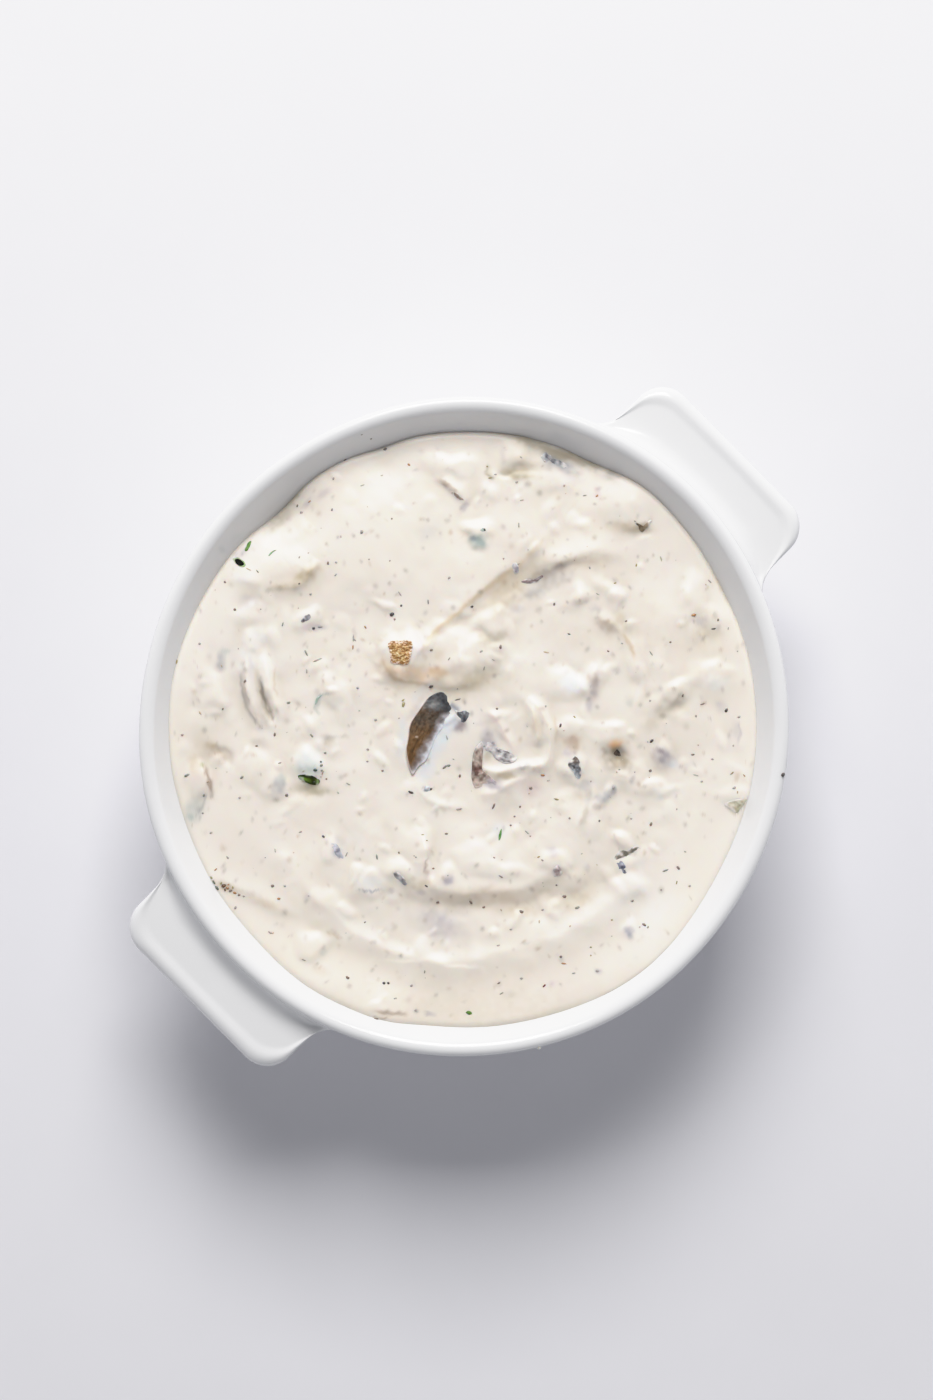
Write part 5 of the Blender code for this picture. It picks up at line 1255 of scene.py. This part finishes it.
# ------------------------------------------------------------------------------------------------
# Chives: one hollow end stands up by the wall, its black hole a near-black cap of painted shade in
# a ring of green, and thin curved slivers of green leaf lie near it and in the middle, each partly
# under cream.
# ------------------------------------------------------------------------------------------------
# The same columns as the scraps have.
CHIVES = (
    (((-54.2, 39.3), (-53.3, 39.7), (-52.2, 39.2), (-51.4, 38.5), (-51.2, 37.7), (-51.9, 37.3), (-53, 37.7),
     (-53.9, 38.5)), -0.12, 0.1, (0.3, 0.44, 0.18), (0.66, 0.73, 0.54), 0.8),
    # The near-black cap inside the ring is painted shade for the open end's inside.
    (((-53.7, 39), (-53.1, 39.3), (-52.3, 39), (-51.7, 38.4), (-51.6, 37.9), (-52.3, 37.6), (-53.3, 38.1)),
     0.02, 0.24, (0.002, 0.003, 0.002), (0.006, 0.008, 0.005), 0),
    (((-51.4, 41.2), (-51.2, 42.2), (-50.5, 43.3), (-49.9, 43.4), (-50.2, 42.3), (-50.8, 41.2)), 0.2, 0.1,
     (0.07, 0.19, 0.03), (0.28, 0.46, 0.15), 0.5),
    (((-45.9, 39.9), (-45.5, 40.7), (-44.6, 41.3), (-43.9, 41.4), (-44.7, 40.9), (-45.4, 40.2)), 0.1, 0.05,
     (0.1, 0.2, 0.09), (0.34, 0.46, 0.28), 0.3),
    (((8, -26.6), (8, -25.4), (8.3, -24.4), (8.7, -23.8), (8.7, -24.8), (8.5, -26)), 0.1, 0.06,
     (0.08, 0.22, 0.05), (0.26, 0.44, 0.18), 0.25),
    (((0.3, -66.7), (0.8, -66.3), (1.5, -66.5), (1.7, -67), (1, -67.2)), 0.15, 0.1, (0.01, 0.03, 0.005),
     (0.2, 0.38, 0.08), 0.15),
    (((-34.9, 5), (-34.8, 6.4), (-33.9, 7.3), (-33.2, 7.5), (-33.9, 6.8), (-34.4, 5.9)), 0.08, 0,
     (0.3, 0.42, 0.34), (0.5, 0.6, 0.54), 0.45),
    (((3.2, 45.8), (4.1, 46.6), (5, 46.5), (5, 45.6), (4.2, 45.3)), 0.1, -0.08, (0.3, 0.36, 0.3),
     (0.6, 0.66, 0.62), 0.5),
)
chive_skin = painted_food("chive_skin", 0.50, 1200.0, 0.5, 0.05 * MM, 0.0, specular=0.08)
chives, (u, v, out, bit) = cap_piece(
    "chive_cuts", level_bits(CHIVES, 0.05, 140), rings=12, columns=40)
darks, lights, run_over = bit_looks(CHIVES, bit)
grain = value_noise(u, v, 0.55, 95)
chive_colour = mix(darks, lights, 0.45 + 0.5 * grain)
coated = (run_over > 0) * smooth_step(value_noise(u, v, 0.8, 96) + out, 1.45 - run_over, 2.0 - run_over)
paint(chives, "shade", mix(chive_colour, (0.74, 0.74, 0.68), 0.9 * coated))
chives.data.materials.append(chive_skin)
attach(chives, "root")

# ------------------------------------------------------------------------------------------------
# Cracked pepper and dried herb: flecks half a millimetre to three millimetres long, lying on the
# cream or just breaking its surface, black, brown, grey-green and a few orange.
# ------------------------------------------------------------------------------------------------
BLACK = (0.065, 0.055, 0.052)
UMBER = (0.21, 0.16, 0.13)
ASH = (0.37, 0.34, 0.315)
SAGE = (0.25, 0.26, 0.22)
RUST = (0.42, 0.22, 0.10)
MOSS = (0.33, 0.28, 0.13)
STREWN_REACH = 66.5
# Flecks listed one by one: u, v, length, width, turn in degrees, colour.
FLECKS = (
    (-16.9, 26.3, 1.4, 1, 40, BLACK), (-14.8, 28.3, 0.7, 0.6, 0, BLACK), (-26, 20.6, 1.9, 0.35, 88, ASH),
    (-26.1, 18.6, 1.2, 0.4, 84, RUST), (-25.7, 20.3, 1, 0.4, 140, ASH), (-37, 17.2, 2, 0.5, 116, SAGE),
    (-34.3, 15.6, 2.8, 0.4, 22, ASH), (-36.9, 13, 1.3, 0.4, 92, ASH), (-35.3, 23, 0.9, 0.8, 0, BLACK),
    (-33.8, 23.4, 1.3, 0.6, 10, ASH), (-53.7, 27.4, 0.8, 0.7, 0, UMBER), (-56, 33.8, 0.8, 0.5, 140, UMBER),
    (-31.9, 38.2, 1, 0.6, 90, UMBER), (-30, 38.4, 0.7, 0.5, 0, ASH), (-30.1, 35.5, 0.9, 0.35, 50, ASH),
    (-24, 45.5, 1.1, 0.9, 60, ASH), (-17, 48.6, 0.5, 0.45, 0, UMBER), (-22.3, 39.1, 0.5, 0.4, 0, ASH),
    (-3.6, 34.8, 0.9, 0.6, 60, ASH), (-8.5, 29.2, 1.5, 0.4, 96, ASH), (-15.2, 31.2, 1.5, 0.3, 124, ASH),
    (-7.8, 17.9, 1.1, 0.6, 10, UMBER), (-7.7, 9.5, 1.3, 0.7, 24, BLACK), (-14.3, 5.2, 1.6, 0.8, 84, MOSS),
    (-14.4, 6.2, 0.8, 0.5, 30, MOSS), (-1.5, 6.4, 1.6, 0.4, 16, UMBER), (-25, 9.1, 0.7, 0.6, 0, ASH),
    (-20.8, 1.6, 0.8, 0.7, 0, ASH), (-51.2, 10.7, 0.9, 0.6, 40, UMBER), (-41.2, 5.6, 1, 0.6, 10, SAGE),
    (-56.5, 4.2, 0.7, 0.5, 60, UMBER), (-61.9, 19.4, 0.7, 0.6, 0, ASH), (-67.2, 15.2, 1.3, 0.5, 80, MOSS),
    (-36, 31, 0.7, 0.6, 0, ASH), (-38.6, 33.4, 0.6, 0.4, 30, BLACK), (-28, 62.6, 1.1, 0.8, 60, UMBER),
    (-18.6, 65, 1.1, 0.8, 30, UMBER), (-39.2, 51.8, 0.9, 0.45, 70, UMBER), (-38.2, 50.2, 0.8, 0.6, 0, ASH),
    (-36.2, 52.8, 1.1, 0.35, 30, RUST), (-13, 61.3, 0.9, 0.5, 150, RUST), (-23.2, 23.3, 1, 0.4, 130, RUST),
    (4.7, 46, 0.8, 0.6, 100, BLACK), (1.7, 28.1, 0.9, 0.6, 10, BLACK), (21, 28.7, 1, 0.6, 80, UMBER),
    (24.4, 21.7, 0.8, 0.4, 160, UMBER), (29.3, 37.2, 0.9, 0.45, 100, ASH), (48.1, 19.8, 0.6, 0.5, 0, UMBER),
    (61.2, 3.8, 1.2, 0.8, 60, BLACK), (55.6, 5.3, 1.3, 0.35, 20, UMBER), (51, 7.3, 0.9, 0.5, 70, UMBER),
    (53.5, 26.1, 1.3, 0.8, 10, RUST), (58.2, 22.9, 1.3, 0.45, 8, BLACK), (59.3, 25, 0.7, 0.55, 60, UMBER),
    (61.7, 23, 0.8, 0.35, 80, ASH), (8.4, 18.6, 1.1, 0.8, 80, UMBER), (3.9, 17.6, 1, 0.5, 30, ASH),
    (7.6, 4.2, 0.7, 0.6, 0, UMBER), (22.4, 0.2, 1.1, 0.6, 70, BLACK), (25.7, 2.3, 0.9, 0.35, 130, MOSS),
    (37.8, 24.7, 0.8, 0.5, 30, UMBER), (40.4, 47.4, 0.6, 0.5, 0, BLACK), (57.3, 34.1, 1.3, 0.3, 140, ASH),
    (12.2, 57.2, 0.8, 0.6, 20, ASH), (6, 58.2, 1.2, 0.4, 10, MOSS), (5.3, 60.9, 0.5, 0.4, 0, MOSS),
    (31, 54, 0.9, 0.5, 40, RUST), (35.2, 33.6, 0.8, 0.4, 20, MOSS), (40.2, 37.8, 0.8, 0.4, 80, MOSS),
    (33.6, 17.7, 0.7, 0.4, 150, UMBER), (36.9, 19.5, 0.6, 0.4, 160, ASH), (43.4, 6.1, 0.6, 0.5, 0, ASH),
    (54.1, 2.5, 0.7, 0.5, 110, ASH), (6.8, -18.6, 1.7, 0.55, 64, UMBER), (13, -18.7, 0.7, 0.6, 0, UMBER),
    (11.7, -21, 0.6, 0.5, 0, UMBER), (10.8, -23.1, 0.55, 0.5, 0, UMBER), (15.5, -14.4, 0.9, 0.8, 0, UMBER),
    (18.2, -11.3, 1.1, 0.6, 170, RUST), (31.5, -22, 0.7, 0.5, 60, UMBER),
    (43.6, -22.8, 1.2, 0.7, 70, UMBER), (43.8, -3.3, 1.3, 0.7, 44, BLACK), (43.4, -10.3, 1, 0.7, 30, UMBER),
    (53.4, -6.5, 1.1, 0.45, 10, UMBER), (55.5, -12.8, 0.7, 0.5, 0, ASH), (58, -7.6, 0.7, 0.45, 0, ASH),
    (63, -14.3, 1.2, 0.6, 30, ASH), (65.4, -11.4, 0.9, 0.3, 130, RUST), (62.6, -10.8, 1.4, 0.35, 40, MOSS),
    (39.3, -40.7, 0.7, 0.5, 60, UMBER), (52.6, -37.2, 0.7, 0.6, 0, ASH), (50, -33, 1.4, 0.7, 130, UMBER),
    (47, -33.6, 1.7, 0.4, 22, SAGE), (49.6, -36.4, 1.2, 0.3, 80, MOSS), (42, -46.3, 1.3, 0.6, 145, UMBER),
    (42.8, -46.8, 0.8, 0.5, 60, ASH), (26.4, -42.3, 1.5, 0.7, 20, SAGE), (23.3, -39.7, 1.1, 0.8, 0, UMBER),
    (13.3, -43.3, 1.2, 0.8, 150, UMBER), (1.4, -40.9, 1.6, 0.6, 125, UMBER),
    (4.5, -42.2, 0.8, 0.6, 20, UMBER), (18.3, -42.8, 0.9, 0.4, 10, ASH), (21.5, -37, 0.6, 0.45, 0, UMBER),
    (10.8, -47.4, 0.8, 0.5, 0, ASH), (18.6, -60.5, 1.2, 0.45, 40, (0.16, 0.045, 0.03)),
    (8, -59.9, 1, 0.4, 30, UMBER), (13.3, -58.8, 1, 0.6, 0, ASH), (22.5, -53.7, 0.8, 0.6, 0, UMBER),
    (23.2, -55.3, 1.4, 0.4, 170, RUST), (29.5, -51.5, 0.6, 0.4, 0, MOSS), (29.5, -53.4, 0.5, 0.4, 0, MOSS),
    (31, -57, 0.9, 0.6, 0, ASH), (7.9, -51.1, 0.9, 0.4, 10, ASH), (39, -40.7, 0.6, 0.5, 0, ASH),
    (34.4, -45.1, 0.6, 0.4, 0, MOSS), (51.6, -29.2, 0.8, 0.4, 150, ASH), (-59.3, -24.8, 0.8, 0.6, 10, ASH),
    (-55.4, -30.6, 0.9, 0.5, 130, ASH), (-58.2, -33.4, 1, 0.4, 40, RUST), (-44.9, -37.2, 1, 0.8, 0, UMBER),
    (-42, -37.2, 0.7, 0.6, 0, ASH), (-43.4, -40.2, 0.9, 0.6, 10, RUST), (-53.6, -42.3, 0.9, 0.7, 60, ASH),
    (-45.4, -48.1, 1.2, 0.5, 150, ASH), (-38.4, -24.6, 0.9, 0.45, 20, ASH),
    (-33, -25.7, 1, 0.6, 150, BLACK), (-20.5, -30.5, 1.4, 0.6, 100, SAGE),
    (-15.3, -29.4, 0.7, 0.5, 120, UMBER), (-23.3, -45.7, 0.7, 0.4, 30, UMBER),
    (-6.3, -41, 0.9, 0.7, 0, UMBER), (-8.9, -37.2, 1, 0.45, 150, BLACK), (-7.3, -33.1, 0.6, 0.5, 0, UMBER),
    (-4.2, -25, 0.9, 0.5, 10, UMBER), (-22.6, -5.3, 0.8, 0.6, 0, ASH), (-22.7, -8.1, 0.7, 0.5, 0, ASH),
    (-19.2, -10.3, 0.7, 0.6, 0, UMBER), (-12.6, -15.3, 1.4, 0.7, 160, BLACK),
    (-7.9, -14.6, 0.8, 0.6, 30, BLACK), (-4.6, -9.4, 1.6, 0.6, 36, SAGE), (-3.7, -9.1, 1, 0.6, 10, SAGE),
    (-1.1, -11.5, 0.9, 0.7, 80, UMBER), (-1.4, -19.3, 1.7, 0.55, 10, ASH), (-41.6, -16, 0.9, 0.8, 0, UMBER),
    (-52, -11.8, 1, 0.7, 40, SAGE), (-52.6, -16.6, 0.8, 0.6, 0, ASH), (-48.6, -4.5, 0.8, 0.5, 0, UMBER),
    (-44.4, -1.8, 1.1, 0.6, 80, UMBER), (-66, -1.9, 0.8, 0.7, 0, ASH), (-64.8, -11.3, 1.8, 0.6, 26, SAGE),
    (-32.6, -6.1, 0.8, 0.6, 20, SAGE), (-35.8, -2, 1.5, 0.45, 130, SAGE), (-33.5, -9, 1, 0.8, 30, SAGE),
    (-34.9, -10.1, 1.1, 0.8, 0, (0.04, 0.07, 0.05)), (-33.4, -10.2, 0.7, 0.5, 0, SAGE),
    (-32.3, -12.2, 0.6, 0.5, 0, UMBER), (-33.6, -8.2, 0.6, 0.5, 0, (0.04, 0.07, 0.05)),
    (-27.3, -58.6, 1.1, 0.7, 140, UMBER), (-18.8, -59.9, 0.9, 0.7, 10, BLACK),
    (-17.8, -59.9, 0.8, 0.6, 0, BLACK), (-12.4, -60.5, 0.9, 0.6, 30, ASH), (-11.4, -66.2, 0.7, 0.7, 0, ASH),
    (-16.2, -63.4, 0.9, 0.4, 20, ASH), (-20.6, -68.1, 1.6, 0.4, 0, UMBER), (-46.6, -30.6, 0.4, 0.3, 0, ASH),
    (-9.8, -25.2, 0.8, 0.3, 0, MOSS), (-8.9, -26.6, 0.8, 0.3, 20, MOSS), (-60.9, -16, 0.8, 0.6, 70, SAGE),
    (-61.2, -20.2, 0.6, 0.5, 0, ASH), (-38.6, 39.6, 0.9, 0.4, 70, ASH), (17.4, -30.4, 0.9, 0.4, 20, MOSS),
    (18.2, -31.2, 0.8, 0.4, 150, ASH), (15.4, -25.6, 0.5, 0.4, 0, ASH), (8.4, -34.9, 1.5, 0.4, 150, ASH),
    (21.6, -17, 1.4, 0.5, 165, MOSS), (34.8, -14.3, 1, 0.7, 70, ASH), (39, -21.5, 0.6, 0.4, 0, ASH),
    (-58.6, -36.4, 1.3, 0.6, 120, (0.14, 0.16, 0.11)), (-57.9, -37.7, 1.3, 0.7, 130, (0.11, 0.12, 0.09)),
    (-56.3, -37.2, 1.4, 0.9, 20, (0.12, 0.06, 0.025)), (-55.4, -37.7, 1.1, 0.7, 150, (0.34, 0.18, 0.08)),
    (-54.7, -38.3, 1, 0.7, 30, UMBER), (-53.7, -38.8, 1.1, 0.6, 160, (0.38, 0.2, 0.09)),
    (-56.9, -36.6, 0.7, 0.5, 60, MOSS), (-52.7, -39.3, 0.8, 0.6, 0, UMBER),
    (-55.2, -36.9, 0.6, 0.45, 10, RUST), (-54.2, -37.6, 0.7, 0.5, 100, MOSS),
    (-56, -38.1, 0.8, 0.6, 80, (0.16, 0.09, 0.05)), (-59.2, -35.3, 0.8, 0.5, 120, MOSS),
    (-51.6, -39.6, 0.6, 0.5, 0, ASH), (-23.9, 68, 0.7, 0.5, 30, ASH), (-21.8, 67.2, 0.6, 0.5, 0, UMBER),
    (73.8, -11.1, 1.1, 0.8, 60, BLACK),
)


def resting_height(u, v):
    """Height of what a fleck lies on: the dressing, or past its edge the dish's wall up to the lip."""
    x, y = from_table(u, v)
    radius = np.hypot(x, y) / oval(np.arctan2(y, x))
    wall = DISH_HEIGHT - (LIP_RADIUS - LIP_WIDTH - radius) / math.tan(FLARE_LEAN)
    return np.maximum(surface_height(u, v), np.minimum(wall, DISH_HEIGHT) / MM)


def fleck_mesh(name, rows, seed):
    """Low, angular flecks: a squashed six-sided bead for each row, its points shifted at random.

    Each bead has a narrower ring above, a full ring below, and a point above and below them.
    """
    chance = np.random.default_rng(seed)
    table = np.array([row[:5] for row in rows], float)
    count = len(table)
    sides = 6
    here = np.arange(sides)
    following = (here + 1) % sides
    turn = here * math.pi / 3
    ring = np.stack([np.cos(turn), np.sin(turn)], axis=1)
    bead = np.vstack([[(0, 0, 0.55)], np.hstack([ring * 0.72, np.full((sides, 1), 0.38)]),
                      np.hstack([ring, np.full((sides, 1), -0.30)]), [(0, 0, -0.9)]])
    points = len(bead)
    shape = bead[None] * (1 + 0.22 * chance.uniform(-1, 1, (count, points, 3)))
    angle = np.radians(table[:, 4])[:, None]
    long_way = shape[..., 0] * table[:, 2:3] / 2
    wide_way = shape[..., 1] * table[:, 3:4] / 2
    u = table[:, 0:1] + long_way * np.cos(angle) - wide_way * np.sin(angle)
    v = table[:, 1:2] + long_way * np.sin(angle) + wide_way * np.cos(angle)
    lift, flatness = 0.02, 0.42
    ground = resting_height(table[:, 0:1], table[:, 1:2])
    height = ground + lift + shape[..., 2] * table[:, 3:4] * flatness
    x, y = from_table(u, v)
    vertices = np.stack([x, y, height * MM], axis=-1).reshape(-1, 3)
    upper, upper_next = 1 + here, 1 + following
    lower, lower_next = upper + sides, upper_next + sides
    faces = np.vstack([np.stack([0 * here, upper, upper_next], axis=1),
                       np.stack([upper, lower, lower_next], axis=1),
                       np.stack([upper, lower_next, upper_next], axis=1),
                       np.stack([0 * here + points - 1, lower_next, lower], axis=1)])
    triangles = (faces[None] + points * np.arange(count)[:, None, None]).reshape(-1, 3)
    piece = mesh_piece(name, vertices, triangles)
    colours = np.repeat(np.array([row[5] for row in rows], float), points, axis=0)
    paint(piece, "shade", colours * chance.uniform(0.75, 1.35, (len(colours), 1)))
    return piece


def strewn_flecks(count, seed, colours, longest, widest):
    """Rows for more flecks, strewn evenly over the dressing at random sizes and turns."""
    chance = np.random.default_rng(seed)
    reach = STREWN_REACH * np.sqrt(chance.uniform(0, 1, count))
    bearing = chance.uniform(0, 2 * math.pi, count)
    length = chance.uniform(0.30, 1, count) ** 1.6 * longest
    width = np.minimum(length * chance.uniform(0.5, 1.0, count), widest)
    picked = chance.integers(len(colours), size=count)
    return [(reach[i] * math.cos(bearing[i]), reach[i] * math.sin(bearing[i]), length[i], width[i],
             chance.uniform(0, 180), colours[picked[i]]) for i in range(count)]


pepper_skin = painted_food("cracked_pepper", 0.45, 2600.0, 0.6, 0.05 * MM, 0.3)
herb_skin = painted_food("dried_herb", 0.60, 2600.0, 0.5, 0.05 * MM, 0.1)
# Dark or wide flecks are pepper, and the rest are herb.
is_pepper = [row[5] in (BLACK, UMBER) or row[3] >= 0.65 for row in FLECKS]
pepper_rows = [row for row, dark in zip(FLECKS, is_pepper) if dark]
herb_rows = [row for row, dark in zip(FLECKS, is_pepper) if not dark]
pepper_rows += strewn_flecks(
    80, 5, (ASH, (0.30, 0.25, 0.22), (0.42, 0.37, 0.33), (0.50, 0.45, 0.41)), 0.8, 0.6)
herb_rows += strewn_flecks(
    60, 6, (SAGE, (0.36, 0.36, 0.31), (0.44, 0.42, 0.35), (0.50, 0.38, 0.27)), 1.6, 0.34)
pepper = fleck_mesh("pepper_flecks", pepper_rows, 11)
herbs = fleck_mesh("herb_flecks", herb_rows, 12)
for flecks, skin in ((pepper, pepper_skin), (herbs, herb_skin)):
    flecks.data.materials.append(skin)
    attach(flecks, "root")

# ------------------------------------------------------------------------------------------------
# A drop of cream clings to the outer edge of the lip, where a spoon was wiped. It is the same
# dressing as in the dish, drawn down by its own weight into a small round-ended bead.
# ------------------------------------------------------------------------------------------------


def drop_mesh(name, u, v, height, half_wide, half_tall):
    """A hanging drop: rings at heights sin t, of radius cos t (1 - 0.25 sin t), a pole at each end."""
    rows, columns = 9, 18
    turn = np.linspace(0, 2 * math.pi, columns, endpoint=False)
    lift = np.linspace(1.35, -1.35, rows)[:, None]
    swell = half_wide * np.cos(lift) * (1 - 0.25 * np.sin(lift)) * MM
    x, y = from_table(u, v)
    level = (height + half_tall * np.sin(lift)) * MM
    rings = np.stack([x + swell * np.cos(turn), y + swell * np.sin(turn), level + 0 * turn], axis=-1)
    poles = [(x, y, (height + half_tall) * MM), (x, y, (height - half_tall) * MM)]
    vertices = np.vstack([rings.reshape(-1, 3), poles])
    top = rows * columns
    caps = np.vstack([fan_faces(top, 0, columns, True),
                      fan_faces(top + 1, top - columns, columns, False)])
    piece = mesh_piece(name, vertices, ring_faces(rows, columns), caps)
    paint(piece, "veil", np.tile(CREAM, (len(vertices), 1)))
    return piece


drop = drop_mesh("cream_drop", 17.3, -74.4, height=47.9, half_wide=0.55, half_tall=1.1)
drop.data.materials.append(dressing_look)
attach(drop, "root")

# ------------------------------------------------------------------------------------------------
# The studio is a pale plain table, a big soft light from beyond the dish with a paler sky low down
# all round, and the camera straight above on a long lens.
# ------------------------------------------------------------------------------------------------
TABLE_HALF_SIDE = 3
WHITE_LEVEL = 1.5
# The height that the frame spans at the lip, in metres, and the view's centre along u and v.
FRAME_HEIGHT = 0.3244
VIEW_CENTRE = (0.46, 6.26)
LENS = 85.0
SENSOR = 36.0

floor_look, tree, shader = new_material("pale_table")
mottle = add_mottle(tree, 14.0, 0.05)
tree.links.new(tinted(tree, (0.79, 0.785, 0.825), mottle.outputs["Factor"]), shader.inputs["Base Color"])
shader.inputs["Roughness"].default_value = 0.6
half = TABLE_HALF_SIDE
floor = mesh_piece("table", [(-half, -half, 0), (half, -half, 0), (half, half, 0), (-half, half, 0)],
                   np.array([[0, 1, 2, 3]]))
floor.data.materials.append(floor_look)


def area_light(name, bearing, elevation, distance, size, power, colour):
    """A square light that faces the dish, at a bearing from u and an elevation, in degrees."""
    data = bpy.data.lights.new(name, 'AREA')
    data.size = size
    data.energy = power
    data.color = colour
    lamp = bpy.data.objects.new(name, data)
    bpy.context.scene.collection.objects.link(lamp)
    turn = math.radians(bearing) - LUG_TURN
    rise = math.radians(elevation)
    lamp.location = (distance * math.cos(rise) * math.cos(turn),
                     distance * math.cos(rise) * math.sin(turn), distance * math.sin(rise))
    lamp.rotation_euler = (math.pi / 2 - rise, 0, turn + math.pi / 2)
    return lamp


area_light("key", bearing=90, elevation=46.5, distance=1.5, size=0.75, power=24.0,
           colour=(1.0, 0.99, 0.97))
world = bpy.data.worlds.new("pale_room")
world.use_nodes = True
tree = world.node_tree
sky_way = add_node(tree, 'ShaderNodeTexCoord').outputs["Generated"]
way = add_node(tree, 'ShaderNodeSeparateXYZ', {0: sky_way})
rise = add_node(tree, 'ShaderNodeMath', {0: way.outputs["Z"]}, operation='ABSOLUTE')
fall = add_node(tree, 'ShaderNodeMath', {0: 1.0, 1: rise.outputs[0]}, operation='SUBTRACT')
square = add_node(tree, 'ShaderNodeMath', {0: fall.outputs[0], 1: 2.0}, operation='POWER')
glow = add_node(tree, 'ShaderNodeMath', {0: square.outputs[0], 1: 0.95, 2: 0.16}, operation='MULTIPLY_ADD')
background = tree.nodes["Background"]
background.inputs["Color"].default_value = (0.94, 0.955, 1.0, 1.0)
tree.links.new(glow.outputs[0], background.inputs["Strength"])
bpy.context.scene.world = world
view = bpy.context.scene.view_settings
view.view_transform = 'Standard'
# The brightest whites are drawn in softly, as film does, so the glaze keeps its shape in full light.
view.use_curve_mapping = True
view.curve_mapping.white_level = (WHITE_LEVEL, WHITE_LEVEL, WHITE_LEVEL)
shoulder = view.curve_mapping.curves[3]
for light, shown in ((0.20, 0.20 * WHITE_LEVEL), (0.40, 0.40 * WHITE_LEVEL), (0.50, 0.745),
                     (0.60, 0.868), (0.70, 0.925), (0.85, 0.967)):
    shoulder.points.new(light, shown)
view.curve_mapping.update()

camera_data = bpy.data.cameras.new("camera")
camera_data.lens = LENS
camera_data.sensor_width = SENSOR
camera = bpy.data.objects.new("camera", camera_data)
bpy.context.scene.collection.objects.link(camera)
centre_x, centre_y = from_table(*VIEW_CENTRE)
camera.location = (centre_x, centre_y, DISH_HEIGHT + LENS / SENSOR * FRAME_HEIGHT)
camera.rotation_euler = (0, 0, -LUG_TURN)
bpy.context.scene.camera = camera
